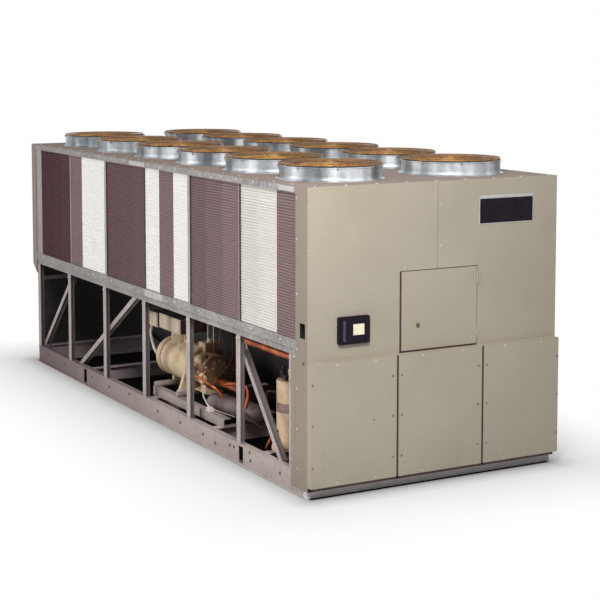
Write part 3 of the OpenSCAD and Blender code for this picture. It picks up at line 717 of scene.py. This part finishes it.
@single(BRIGHT, "beige_paint")
def upper_screws(bm):
    """Bright screws on the upper panels, and along the top and foot of the lower ones."""
    upper = [(y, z) for y in (0.012 - HALF, HALF - 0.012) for z in (1.83, 2.15)]
    upper += [(0.03, z) for z in (1.8, 2.12)]
    upper += [(y, DOOR_Z1 + 0.032) for y in (-0.29, 0.08, 0.28)]
    for y, z in upper:
        screw(bm, (UPPER, y, z), X, 0.004)
    for y in PANEL_EDGE_Y:
        screw(bm, (FRONT, y, SEAM_Z - 0.022), X, 0.006)
        screw(bm, (FRONT, y, PANEL_Z0 + 0.019), X, 0.005)


DECK_ROW, RAIL_ROW, RING_SCREWS = 9, 20, 8


def side_screws(bm, s):
    """Screws of the top rail, the deck's long edge, the mullions, the control box and the rings."""
    outward = (0, s, 0)
    for i in range(RAIL_ROW):
        x = FRAME0 + 0.1 + (BOX0 - FRAME0 - 0.2) * i / (RAIL_ROW - 1)
        screw(bm, (x, s * HALF, RAIL_Z + 0.028), outward, 0.007)
        screw(bm, (x, s * (HALF - 0.03), DECK), Z, 0.008, 0.005)
    for z in (1.2, 1.7, 2.2):
        for x in (line_x(0) - 0.04, line_x(2), line_x(4)):
            screw(bm, (x, s * MULL_Y, z), outward, 0.006)
    for z in (0.2, 0.5, 0.8, 1.09, 1.5, 1.9, 2.2):
        screw(bm, (BOX0 + 0.023, s * HALF, z), outward, 0.006)
    r = RING_R + 0.022
    for i in range(BAYS):
        for a in turns(RING_SCREWS, 0.5):
            screw(bm, (bay_c(i) + r * math.cos(a), s * FAN_Y + r * math.sin(a), DECK + 0.004), Z, 0.005)


@single(ZINC, "ring_zinc")
def sheet_screws(bm):
    for i in range(DECK_ROW):
        screw(bm, (BOX1 - 0.018, -1.05 + 2.1 * i / (DECK_ROW - 1), DECK), Z, 0.009, 0.006)
    for s in SIDES:
        side_screws(bm, s)


# Each fan ring turns out to its foot in a small hollow curve: height, and reach past the ring
RING_FOOT = ((0.004, -0.001), (0.004, 0.015), (0.0055, 0.0105), (0.0095, 0.006), (0.016, 0.0028),
             (0.026, 0.0009), (0.034, 0.0004), (0.034, -0.001))


@paired(RING, "ring_zinc", angle=60)
def ring_feet(bm, s):
    for i in range(BAYS):
        lathe(bm, (bay_c(i), s * FAN_Y, DECK), Z, [(h, RING_R + d) for h, d in RING_FOOT], 96)


@paired(ZINC, "galvanised")
def frame_bolts(bm, s):
    """Bolt pairs at the head and foot of each post, and a row along the middle rail."""
    outward = (0, s, 0)
    for k in range(1, BAYS):
        for dx in (-0.02, 0.02):
            for z in (MID_Z - 0.03, BASE_H + 0.03):
                hexbolt(bm, (post_at(k) + POST_W / 2 + dx, s * WEB, z), outward, 0.008, 0.006)
    for k in range(2 * BAYS):
        hexbolt(bm, (FRAME0 + 0.2 + 0.472 * k, s * HALF, MID_TOP - 0.03), outward, 0.009, 0.007)


# Bolts along a base rail: place along the length, and height
RAIL_BOLTS = ((-2.6, 0.11), (-2.1, 0.1), (-1.35, 0.11), (-0.9, 0.1), (-0.42, 0.127), (0.231, 0.102),
              (0.702, 0.101), (1.158, 0.102), (1.388, 0.079), (1.657, 0.124), (1.725, 0.124),
              (2.003, 0.142), (2.014, 0.079), (2.5, 0.1))


@paired(BOLT, "dark_metal")
def base_bolts(bm, s):
    for x, z in RAIL_BOLTS:
        hexbolt(bm, (x, s * WEB, z), (0, s, 0), 0.009, 0.006)
    hexbolt(bm, (BOX0 + 0.123, s * HALF, SEAM_Z - 0.01), (0, s, 0), 0.009, 0.006)


# Joints of the control end
PANEL_JOINTS = (-0.38, 0.392)
FOOT_SHADOW_STRIPS = ((-1.08, -0.3945), (-0.3655, 0.378), (0.406, 1.08))
SHADOW_IN, SHADOW_OUT = 0.0012, 0.0004


@single(MAROON, "dark_metal")
def panel_shadow_strips(bm):
    """Dark strips between and under the lower panels and beside the door, clear of its swing: painted shade
    in the gaps.
    """
    z0 = PANEL_Z0 + 0.001
    for y in PANEL_JOINTS:
        box(bm, (FRONT - 0.035, y - 0.0068, z0), (FRONT - SHADOW_IN, y + 0.0068, PANEL_Z1 - 0.001))
        box(bm, (FRONT - SHADOW_IN, y - 0.0085, z0), (FRONT + SHADOW_OUT, y + 0.0085, PANEL_Z1 - 0.002))
    back, face, z0 = UPPER - 0.016, UPPER - SHADOW_IN, SEAM_Z + 0.0008
    side = DOOR_Y0 - 0.0055
    box(bm, (back, DOOR_Y0 - 0.0148, z0), (face, side, DOOR_Z1 + 0.005))
    box(bm, (face, DOOR_Y0 - 0.019, z0), (UPPER + SHADOW_OUT, side, DOOR_Z1 + 0.007))
    box(bm, (back, side, z0), (face, DOOR_Y1 - 0.002, z0 + 0.007))
    for y0, y1 in FOOT_SHADOW_STRIPS:
        box(bm, (FRONT - 0.038, y0, PANEL_Z0 - 0.019), (FRONT - 0.004, y1, PANEL_Z0 - 0.0002))


@single(BEIGE, "beige_paint")
def seam_strip(bm):
    """Beige strip that closes the joint between the upper and lower panels."""
    y, z = HALF - 0.006, SEAM_Z - 0.0038
    box(bm, (UPPER - 0.01, -y, z), (FRONT - 0.003, y, SEAM_Z - 0.0002))
    y = HALF - 0.008
    box(bm, (UPPER - 0.035, -y, SEAM_Z - 0.03), (UPPER - 0.0045, y, z))


# The lower side sheets reach past the control box and end on a zinc edge
REACH_X0 = BOX0 - 0.069
REACH_Y0 = WEB + 0.0012
ZINC_Y1 = HALF - 0.003


@paired(SIDE, "beige_paint")
def side_reach(bm, s):
    ybox(bm, s, REACH_X0, BOX0 + 0.002, REACH_Y0, HALF, low("side_panels", "z"), SEAM_Z - 0.0005)


@paired(GALV, "galvanised")
def side_edges(bm, s):
    ybox(bm, s, REACH_X0 - 0.033, REACH_X0, REACH_Y0, ZINC_Y1, BASE_H + 0.0005, MID_Z - 0.001)
    for z in (0.25, 0.55, 0.85):
        screw(bm, (REACH_X0 - 0.016, s * ZINC_Y1, z), (0, s, 0), 0.006)


# Toe angle along the base end under the lower panels, with short returns to the side rails
TOE_X = BASE_X1 + 0.056
TOE_Y = HALF - 0.02
TOE_H, TOE_T, TOE_Z = 0.05, 0.004, 0.002


# Pale zinc on a strip in shade: painted light.
@single(TOE, "galvanised")
def base_toe(bm):
    box(bm, (TOE_X - TOE_T, -TOE_Y, TOE_Z), (TOE_X, TOE_Y, TOE_H))
    box(bm, (BASE_X1 - TOE_T, -TOE_Y, TOE_H - TOE_T), (TOE_X - TOE_T, TOE_Y, TOE_H))
    for s in SIDES:
        ybox(bm, s, BASE_X1 - 0.01, TOE_X, TOE_Y, TOE_Y + 0.006, TOE_Z, TOE_H + 0.01)


# Splice plates on the middle and top rails
SPLICE_Y = (HALF - 0.001, HALF + 0.0025)
MID_SPLICE = (-0.01, 0.37)
TOP_SPLICES = ((-0.35, -0.01), (2.5, 2.735))


@paired(PLATE, "galvanised")
def splice_plates(bm, s):
    z0, z1 = MID_TOP - 0.06, MID_TOP - 0.004
    ybox(bm, s, *MID_SPLICE, *SPLICE_Y, z0, z1)
    for x in (MID_SPLICE[0] + 0.03, MID_SPLICE[1] - 0.03):
        screw(bm, (x, s * SPLICE_Y[1], (z0 + z1) / 2), (0, s, 0), 0.007)
    for xs in TOP_SPLICES:
        ybox(bm, s, *xs, *SPLICE_Y, RAIL_Z + 0.006, RAIL_TOP - 0.006)


# Vents in the sides of the control box: a black lining and three slats, as painted shade in the recess
VENT_X0, VENT_X1 = BOX0 + 0.0655, BOX0 + 0.1445
VENT_Z0, VENT_Z1 = SEAM_Z + 0.1675, SEAM_Z + 0.2785
VENT_BACK, VENT_MOUTH = HALF - 0.054, HALF - 0.002
LINING = 0.002
SLATS, SLAT_STEP, SLAT_T, SLAT_D = 3, 0.028, 0.003, 0.01


@paired(VENT_SHADE, "dark_metal")
def side_vents(bm, s):
    ybox(bm, s, VENT_X0, VENT_X1, VENT_BACK - 0.004, VENT_BACK, VENT_Z0, VENT_Z1)
    for x in (VENT_X0, VENT_X1 - LINING):
        ybox(bm, s, x, x + LINING, VENT_BACK, VENT_MOUTH, VENT_Z0, VENT_Z1)
    for z in (VENT_Z0, VENT_Z1 - LINING):
        ybox(bm, s, VENT_X0, VENT_X1, VENT_BACK, VENT_MOUTH, z, z + LINING)
    for k in range(SLATS):
        z = VENT_Z0 + 0.0235 + SLAT_STEP * k
        ybox(bm, s, VENT_X0 + LINING, VENT_X1 - LINING, VENT_BACK, VENT_BACK + SLAT_D, z, z + SLAT_T)


# Controller: cream display in a thin bezel, keys under it, and a lighter sheet on the raised strip as a
# painted highlight.
# Places across and up are given from the controller's middle.
CTRL_X = high("controller", "x")
CTRL_Y = middle("controller", "y")
CTRL_Z = middle("controller", "z")
CTRL_FACE = CTRL_X - 0.004
SHOWN_Y, SHOWN_Z = (-0.012, 0.085), (-0.038, 0.044)
BEZEL_Y, BEZEL_Z = (-0.018, 0.102), (-0.046, 0.054)
LINTEL = 0.046
KEYS, KEY_STEP, KEY_DROP = 4, 0.028, 0.066


def flat(bm, x0, x1, ys, zs):
    """A thin box on the controller."""
    box(bm, (x0, CTRL_Y + ys[0], CTRL_Z + zs[0]), (x1, CTRL_Y + ys[1], CTRL_Z + zs[1]))


@single(SCREEN, "black_plastic")
def controller_display(bm):
    flat(bm, CTRL_FACE - 0.003, CTRL_FACE - 0.0015, SHOWN_Y, SHOWN_Z)


@single(BLACK, "black_plastic")
def controller_keys(bm):
    for ys, zs in ((BEZEL_Y, (LINTEL, BEZEL_Z[1])), (BEZEL_Y, (BEZEL_Z[0], SHOWN_Z[0])),
                   ((BEZEL_Y[0], SHOWN_Y[0]), (SHOWN_Z[0], LINTEL)),
                   ((SHOWN_Y[1], BEZEL_Y[1]), (SHOWN_Z[0], LINTEL))):
        flat(bm, CTRL_FACE - 0.0005, CTRL_FACE + 0.0015, ys, zs)
    for k in range(KEYS):
        lathe(bm, (CTRL_FACE, CTRL_Y + KEY_STEP * k, CTRL_Z - KEY_DROP), X,
              boss(0.008, 0.0042, 0.0012, 0.002), 16)


@single(STRIP_HIGHLIGHT, "black_plastic")
def controller_strip_highlight(bm):
    flat(bm, CTRL_X, CTRL_X + 0.0012, (-0.098, -0.078), (-0.076, 0.076))


# Name plate place: a plain black plate with a lighter strip over it and a thin pale edge
PLATE_Y0, PLATE_Y1 = ends("name_plate", "y")
PLATE_Z0, PLATE_Z1 = ends("name_plate", "z")
PLATE_EDGE = 0.006
STRIP_T = 0.003


@single(PLATE, "galvanised")
def plate_strip(bm):
    def bar(y0, y1, z0, z1):
        box(bm, (UPPER, y0, z0), (UPPER + STRIP_T, y1, z1))
    over = PLATE_Z1 + 0.003
    bar(PLATE_Y0, PLATE_Y1, over, over + 0.023)
    bar(PLATE_Y0 - PLATE_EDGE, PLATE_Y1 + PLATE_EDGE, PLATE_Z0 - PLATE_EDGE, PLATE_Z0)
    bar(PLATE_Y0 - PLATE_EDGE, PLATE_Y0, PLATE_Z0, over)
    bar(PLATE_Y1, PLATE_Y1 + PLATE_EDGE, PLATE_Z0, over)


# Door lock: a collar, its plug and the bar that turns it
LOCK_Y, LOCK_Z = DOOR_Y0 + 0.142, DOOR_Z0 + 0.186
LOCK_RIM = [(0, 0.017), (0.002, 0.017), (0.003, 0.014), (0.003, 0.0105), (0.001, 0.0105), (0.001, 0)]
BAR_W, BAR_H = 0.0036, 0.0096


@single(LOCK, "ring_zinc", "door")
def door_lock(bm):
    lathe(bm, (UPPER + 0.0045, LOCK_Y, LOCK_Z), X, LOCK_RIM, 24)
    box(bm, (UPPER + 0.005, LOCK_Y - BAR_W, LOCK_Z - BAR_H),
        (UPPER + 0.0115, LOCK_Y + BAR_W, LOCK_Z + BAR_H))


# Equipment in the open bays. Places are given for one side, with y outward, and made for both.
# Compressor: radius, far end and axis of the drum, and the faces of flange, head and end cover
DRUM_R = 0.1725
DRUM_X, DRUM_Y, DRUM_Z = -0.24, 0.75, 0.495
FLANGE, HEAD, END = DRUM_X + 0.69, DRUM_X + 0.736, DRUM_X + 0.94
BLOCK_TOP = 0.726
HEAD_RIBS = 7


def drum_band(bm, s, x, wide, proud):
    """A band round the drum of a compressor."""
    lathe(bm, out(s, x, DRUM_Y, DRUM_Z), X,
          [(0, DRUM_R), (0, DRUM_R + proud), (wide, DRUM_R + proud), (wide, DRUM_R)], 64)


@paired(BROWN, "cast_tan")
def compressor_castings(bm, s):
    """Dark brown cast details of a compressor head: ribs, band, end cover, bosses and valve."""
    for k in range(HEAD_RIBS):
        a = math.radians(-75 + 25 * k)
        d = out(s, 0, math.cos(a), math.sin(a))
        sweep(bm, [out(s, HEAD, DRUM_Y, DRUM_Z) + d * 0.158,
                   out(s, END - 0.01, DRUM_Y, DRUM_Z) + d * 0.15], 0.009, 6)
    drum_band(bm, s, FLANGE - 0.03, 0.018, 0.006)
    end_cover = out(s, END - 0.02, DRUM_Y + 0.09, DRUM_Z - 0.03)
    lathe(bm, end_cover, X,
          [(0, 0.075), (0.05, 0.075), (0.056, 0.068), (0.056, 0.03), (0.064, 0.026), (0.064, 0)], 32)
    top_valve = out(s, 0.62, 0.8, DRUM_Z + 0.08)
    lathe(bm, top_valve, (0.1, s, 0.5),
          [(0, 0.05), (0.07, 0.046), (0.08, 0.036), (0.08, 0.016), (0.1, 0.014), (0.1, 0)], 24)
    low_boss = out(s, 0.53, 0.87, 0.4)
    lathe(bm, low_boss, (0.1, s, -0.2), boss(0.05, 0.052, 0.007, 0.008), 24)
    side_boss = out(s, 0.63, 0.88, 0.47)
    lathe(bm, side_boss, (0.2, s, 0),
          [(0, 0.05), (0.04, 0.05), (0.046, 0.042), (0.046, 0.02), (0.06, 0.018), (0.06, 0)], 24)


@paired(TAN, "cast_tan")
def head_castings(bm, s):
    """Lighter castings at the head: filter, lids, sump, band on the drum and lifting eye."""
    drum_band(bm, s, DRUM_X + 0.02, 0.03, 0.005)
    oil_filter = out(s, 0.535, 0.9, 0.45)
    lathe(bm, oil_filter, Z,
          [(0, 0.03), (0.006, 0.046), (0.13, 0.046), (0.136, 0.052), (0.152, 0.052), (0.16, 0.04),
           (0.172, 0.02), (0.172, 0)], 28)
    slant_lid = out(s, 0.6, 0.87, 0.63)
    lathe(bm, slant_lid, (0.5, s * 0.6, -0.5),
          [(0, 0.024), (0.02, 0.034), (0.06, 0.034), (0.066, 0.024), (0.066, 0)], 20)
    side_lid = out(s, 0.69, 0.84, 0.46)
    lathe(bm, side_lid, (0.25, s, 0),
          [(0, 0.036), (0.05, 0.036), (0.05, 0.046), (0.07, 0.046), (0.076, 0.04), (0.076, 0)], 28)
    small_lid = out(s, 0.68, 0.85, 0.55)
    lathe(bm, small_lid, (0.2, s, 0), boss(0.02, 0.034, 0.004, 0.005), 16)
    sump, sump_flange = (0.46, 0.69, 0.31, 0.405, 0.86), (0.455, 0.47, 0.302, 0.415, 0.87)
    for x0, x1, z0, z1, face in (sump, sump_flange):
        ybox(bm, s, x0, x1, 0.7, face - 0.012, z0, z1)
        ybox(bm, s, x0 + 0.006, x1 - 0.006, face - 0.012, face, z0 + 0.008, z1 - 0.008)
    eye_x, eye_y, eye_z = 0.12, 0.78, 0.698
    ybox(bm, s, eye_x - 0.03, eye_x + 0.03, eye_y - 0.01, eye_y + 0.01, eye_z - 0.043, eye_z - 0.008)
    sweep(bm, [out(s, eye_x + 0.026 * math.cos(t), eye_y, eye_z + 0.03 * math.sin(t))
               for t in turns(20)], 0.01, 8, True)
    block_cap = out(s, 0.5, 0.73, BLOCK_TOP - 0.001)
    lathe(bm, block_cap, Z, boss(0.026, 0.036, 0.006, 0.008), 20)


# Terminal boxes on a compressor: ends along the length, inner and outer face, foot and top
TERM_BOXES = ((-0.25, 0.21, 0.62, 0.88, 0.7545, 0.8845), (-0.505, -0.315, 0.64, 0.87, 0.7395, 0.8695))
LID_T = 0.004
LID_INSET = ((0.01, 0.01), (0.009, 0.0085))
FLANGE_BOLTS = 16
COVER_BOLTS = 8
SKID_Y = high("compressor_skids", "y")
SKID_BOLTS, SKID_STEP = 10, 0.143
PAD_TOP = 0.302
FOOT_X, FOOT_Y = 0.37, (0.94, 0.56)


@paired(ZINC, "galvanised")
def equipment_bolts(bm, s):
    """Bolts of the compressors, terminal boxes and skids."""
    axis = out(s, 0, DRUM_Y, DRUM_Z)
    for a in turns(FLANGE_BOLTS, 0.5):
        d = Vector((0, math.cos(a), math.sin(a)))
        hexbolt(bm, axis + d * 0.181 + Vector((HEAD, 0, 0)), X, 0.008, 0.008)
        hexbolt(bm, axis + d * 0.185 + Vector((FLANGE, 0, 0)), (-1, 0, 0), 0.008, 0.008)
    for a in turns(COVER_BOLTS):
        d = Vector((END + 0.03, math.cos(a) * 0.064, 0.045 + math.sin(a) * 0.064))
        hexbolt(bm, axis + d, X, 0.006, 0.006)
    for x in (0.445, 0.535):
        for y in (0.68, 0.78):
            hexbolt(bm, out(s, x, y, BLOCK_TOP), Z, 0.006, 0.006)
    for x0, x1, y0, y1, z0, z1 in TERM_BOXES:
        for x in (x0 + 0.02, x1 - 0.02):
            for z in (z0 + 0.02, z1 - 0.02):
                screw(bm, out(s, x, y1 + LID_T, z), (0, s, 0), 0.005)
    for y in (FOOT_Y[0] + 0.022, FOOT_Y[1] - 0.022):
        hexbolt(bm, out(s, FOOT_X, y, PAD_TOP), Z, 0.008, 0.01)
    for k in range(SKID_BOLTS):
        hexbolt(bm, out(s, -0.06 + SKID_STEP * k, SKID_Y, BASE_H + 0.035), (0, s, 0), 0.006, 0.005)


@paired(TERM, "beige_paint")
def terminal_lids(bm, s):
    for (x0, x1, y0, y1, z0, z1), (dx, dz) in zip(TERM_BOXES, LID_INSET):
        ybox(bm, s, x0 + dx, x1 - dx, y1, y1 + LID_T, z0 + dz, z1 - dz)


@paired(SHADE, "dark_metal")
def dark_fittings(bm, s):
    """Gaskets, cable glands, the seam in the skid rail, and dark plates on the boxes' end and top faces as
    painted shade.
    """
    lathe(bm, out(s, DRUM_X + 0.071, DRUM_Y, DRUM_Z), X, [(0, 0.1655), (0.032, 0.1655)], 64)
    lathe(bm, out(s, FLANGE + 0.021, DRUM_Y, DRUM_Z), X, [(0, 0.1975), (0.004, 0.1975)], 64)
    for x0, x1, y0, y1, z0, z1 in TERM_BOXES:
        ybox(bm, s, x1, x1 + 0.002, y0 + 0.004, y1 - 0.004, z0 + 0.004, z1 - 0.004)
        ybox(bm, s, x0 + 0.003, x1 - 0.003, y0 + 0.003, y1 - 0.003, z1, z1 + 0.002)
    ybox(bm, s, 0.862, 0.884, SKID_Y - 0.0005, SKID_Y + 0.0012, BASE_H, BASE_H + 0.075)
    for x in (-0.2, -0.1):
        lathe(bm, out(s, x, 0.84, TERM_BOXES[0][4]), (0, 0, -1), boss(0.018, 0.03, 0.01, 0.006), 14)


# Lines in the bays: the points each one passes, with rounded corners between them
OIL_FEED = [(0.46, 0.9, 0.49), (0.5, 0.93, 0.478), (0.84, 0.93, 0.46), (0.93, 0.92, 0.44),
            (0.96, 0.87, 0.4), (0.98, 0.84, 0.34)]
GAS_BLEED = [(1.0, 0.83, 0.46), (1.15, 0.81, 0.49), (1.36, 0.8, 0.5), (1.4, 0.81, 0.44), (1.38, 0.83, 0.33)]
DRAIN = [(2.058, 0.995, 0.172), (2.1, 0.995, 0.23), (2.152, 0.99, 0.29), (2.15, 0.935, 0.33)]
HEAD_VENT = [(0.72, 0.75, 0.54), (0.84, 0.74, 0.54), (0.886, 0.7, 0.64), (0.886, 0.7, BAFFLE)]
HEADER_VENT = [(0.97, 0.82, 0.33), (0.97, 0.68, 0.4), (0.97, 0.64, 0.5), (0.97, 0.64, BAFFLE)]
OIL_RETURN = [(2.1, 0.92, 0.62), (1.95, 0.93, 0.6), (1.9, 0.9, 0.3), (1.7, 0.85, 0.24), (1.38, 0.84, 0.29)]
BLOCK_VENT = [(0.62, 0.74, 0.6), (0.66, 0.72, 0.7), (0.62, 0.68, 0.86), (0.6, 0.68, BAFFLE)]
MOTOR_CONDUIT = [(-0.478, 0.852, 0.742), (-0.5, 0.86, 0.66), (-0.41, 0.86, 0.51), (-0.3, 0.82, 0.43),
                 (-0.25, 0.79, 0.42)]
SENSOR_CONDUIT = [(0.9, 0.965, 0.425), (0.866, 0.97, 0.4), (0.872, 0.975, 0.35), (0.94, 0.975, 0.3),
                  (0.985, 0.97, 0.275)]
CAPILLARY = [(0.99, 0.965, 0.27), (1.1, 0.93, 0.255), (1.3, 0.88, 0.245)]
RISERS = ([(0.44, 0.72, 0.72), (0.445, 0.72, BAFFLE)], [(0.553, 0.72, 0.6), (0.553, 0.72, BAFFLE)])
DRUM_LEAD = [(0.11, 0.83, 0.7545), (0.13, 0.86, 0.7), (0.17, 0.88, 0.64), (0.225, 0.883, 0.583)]


def run(bm, s, pts, r, bend=0.04, seg=10):
    """A line on one side, through its points."""
    sweep(bm, rounded([out(s, *p) for p in pts], bend), r, seg)


@paired(COPPER, "copper")
def small_copper_lines(bm, s):
    run(bm, s, OIL_FEED, 0.012)
    run(bm, s, GAS_BLEED, 0.016)
    run(bm, s, DRAIN, 0.011)


@paired(AGED, "copper")
def aged_copper_lines(bm, s):
    for pts, r in ((HEAD_VENT, 0.006), (HEADER_VENT, 0.006), (OIL_RETURN, 0.008), (BLOCK_VENT, 0.006)):
        run(bm, s, pts, r, seg=8)


@paired(PALE, "coil_light")
def conduits_and_pads(bm, s):
    """Pale conduits, capillary tubes, the pads under the feet and a sensor box on the skid."""
    for pts, r in ((MOTOR_CONDUIT, 0.0135), (SENSOR_CONDUIT, 0.006), (CAPILLARY, 0.0025),
                   (RISERS[0], 0.005), (RISERS[1], 0.005), (DRUM_LEAD, 0.0045)):
        run(bm, s, pts, r, 0.06)
    for x, y, half in ((-0.097, 0.75, 0.06), (FOOT_X, FOOT_Y[0], 0.036), (FOOT_X, FOOT_Y[1], 0.036)):
        ybox(bm, s, x - 0.024, x + 0.024, y - half, y + half, PAD_TOP - 0.014, PAD_TOP)
    ybox(bm, s, 0.95, 1.03, 0.945, 0.99, 0.2455, 0.27)
    ybox(bm, s, 0.965, 1.015, 0.952, 0.983, 0.27, 0.28)


# Oil separators
SEP_X, SEP_Y = middle("oil_separators", "x"), 0.8
SEP_TOP = 0.716
CAP_X, CAP_Y, CAP_Z = 2.1977, 0.9865, 0.2132
LABEL_R = (0.1395, 0.1415)
LABEL_Z = (0.475, 0.55)
LABEL_STEPS = 14


@paired(TAN, "cast_tan")
def separator_fittings(bm, s):
    """Sight glass rim and cap grip."""
    lathe(bm, out(s, SEP_X - 0.03, SEP_Y + 0.132, 0.3), (0, s, 0), boss(0.03, 0.021, 0.003, 0.004), 20)
    lathe(bm, out(s, CAP_X, CAP_Y, CAP_Z), (0, s, 0),
          [(0, 0.041), (0.012, 0.041), (0.016, 0.034), (0.02, 0.028), (0.02, 0)], 32)


@paired(DARK, "dark_metal")
def separator_valves(bm, s):
    """Valves on top of the shell."""
    lathe(bm, out(s, SEP_X - 0.07, SEP_Y + 0.06, SEP_TOP), Z,
          [(0, 0.02), (0.05, 0.02), (0.05, 0.028), (0.07, 0.028), (0.075, 0.012), (0.1, 0.012), (0.1, 0)], 16)
    lathe(bm, out(s, SEP_X + 0.03, SEP_Y + 0.09, SEP_TOP), Z,
          [(0, 0.016), (0.03, 0.016), (0.03, 0.024), (0.05, 0.024), (0.05, 0)], 16)


@paired(LABEL, "cast_tan")
def bare_label_places(bm, s):
    """A bare label place, wrapped on the shell: outer face, foot and top."""
    for k in range(LABEL_STEPS):
        v = []
        for step in (k, k + 1):
            t = math.radians(-150 + 110 * step / LABEL_STEPS)
            for r in LABEL_R:
                for z in LABEL_Z:
                    v.append(bm.verts.new(out(s, SEP_X + r * math.cos(t), SEP_Y - r * math.sin(t), z)))
        for f in ((2, 3, 7, 6), (0, 2, 6, 4), (1, 5, 7, 3)):
            bm.faces.new([v[i] for i in f])


# Floor, light and camera
FLOOR_HALF = 60
FLOOR_DROP = 0.001
# Half the length and width of the base, and how far from it the floor carries a painted shadow and turns
# white
STANDS_ON = (2.93, 1.08)
SHADOW_REACH, FADE = 0.25, 1.2
FLOOR_SHADOW_TONES = [(0, (34, 32, 32)), (0.06, (140, 140, 140)), (1, (206, 206, 206))]
SOFT_WHITE, SOFT_LEVEL = (1.0, 0.985, 0.965, 1), 0.22
WHITE = (1, 1, 1, 1)


def white_seen(tree):
    """1 for the rays that see the white background: from the camera, reflections and glass."""
    path = tree.nodes.new("ShaderNodeLightPath")
    seen = path.outputs["Is Camera Ray"]
    for ray in ("Is Glossy Ray", "Is Transmission Ray"):
        n = tree.nodes.new("ShaderNodeMath")
        n.operation = "MAXIMUM"
        tree.links.new(seen, n.inputs[0])
        tree.links.new(path.outputs[ray], n.inputs[1])
        seen = n.outputs[0]
    return seen


def lit(tree, kind, colour, level=1):
    """An emission or background shader of one colour."""
    n = tree.nodes.new(kind)
    n.inputs[0].default_value = colour
    n.inputs[1].default_value = level
    return n.outputs[0]


def mixed(tree, fac, a, b, end):
    """Mixes two shaders into an output."""
    n = tree.nodes.new("ShaderNodeMixShader")
    for k, sock in enumerate((fac, a, b)):
        tree.links.new(sock, n.inputs[k])
    tree.links.new(n.outputs[0], end)


def floor_white():
    """Pale floor with a painted shadow under the object, fading to white away from it."""
    g = Graph("floor_white")
    g.tree.nodes.remove(g.bsdf)
    past = [g.math("MAXIMUM", g.math("SUBTRACT", g.math("ABSOLUTE", g.axis(k)), reach), 0)
            for k, reach in enumerate(STANDS_ON)]
    away = g.math("SQRT", g.plus(*(g.math("POWER", d, 2) for d in past)))
    pale = g.add("ShaderNodeBsdfDiffuse")
    g.link(g.ramp(g.span(away, 0, SHADOW_REACH), FLOOR_SHADOW_TONES), pale.inputs[0])
    fac = g.times(g.math("POWER", g.span(away, 0.0, FADE), 0.42), white_seen(g.tree))
    glow = lit(g.tree, "ShaderNodeEmission", WHITE)
    mixed(g.tree, fac, pale.outputs[0], glow, g.out.inputs[0])
    return g.mat


floor_bm = bmesh.new()
bmesh.ops.create_grid(floor_bm, x_segments=8, y_segments=8, size=FLOOR_HALF)
me = bpy.data.meshes.new("floor")
floor_bm.to_mesh(me)
floor_bm.free()
floor = bpy.data.objects.new("floor", me)
floor.location.z = -FLOOR_DROP
bpy.context.collection.objects.link(floor)
me.materials.append(floor_white())

world = bpy.data.worlds.new("studio")
bpy.context.scene.world = world
world.use_nodes = True
sky = world.node_tree
sky.nodes.clear()
mixed(sky, white_seen(sky), lit(sky, "ShaderNodeBackground", SOFT_WHITE, SOFT_LEVEL),
      lit(sky, "ShaderNodeBackground", WHITE),
      sky.nodes.new("ShaderNodeOutputWorld").inputs[0])


def lamp(name, at, aim, size, power):
    d = bpy.data.lights.new(name, "AREA")
    d.shape = "DISK"
    d.size = size
    d.energy = power
    o = bpy.data.objects.new(name, d)
    o.location = at
    o.rotation_euler = (Vector(aim) - Vector(at)).to_track_quat("-Z", "Y").to_euler()
    bpy.context.collection.objects.link(o)


lamp("key", (6.2, -2.7, 4.9), (2.9, -0.5, 1.6), 2.0, 350)
lamp("side_fill", (-3.0, -11.5, 4.5), (-0.3, 0, 1.2), 6.0, 590)
lamp("top", (-1.0, 1.0, 10.0), (0, 0, 2), 7.0, 120)
lamp("back_fill", (-8.5, 9.5, 2.4), (0, 0, 1.2), 5.0, 330)

# The camera that was fitted to the photo, in its pixels and in degrees
PHOTO = 600
FOCAL = 1536.081
CENTRE_ROW = 190
SENSOR = 36
EYE = (12.458079, -6.452086, 3.259276)
TILT_DOWN, TURN = 5.1824, 61.028

cam = bpy.data.cameras.new("photo_view")
cam.sensor_width = SENSOR
cam.lens = FOCAL / PHOTO * SENSOR
cam.shift_y = (CENTRE_ROW - PHOTO / 2) / PHOTO
cam.clip_end = 200
eye = bpy.data.objects.new("photo_view", cam)
eye.location = EYE
eye.rotation_euler = (math.radians(90 - TILT_DOWN), 0, math.radians(TURN))
bpy.context.collection.objects.link(eye)
bpy.context.scene.camera = eye
bpy.context.scene.view_settings.view_transform = "Standard"
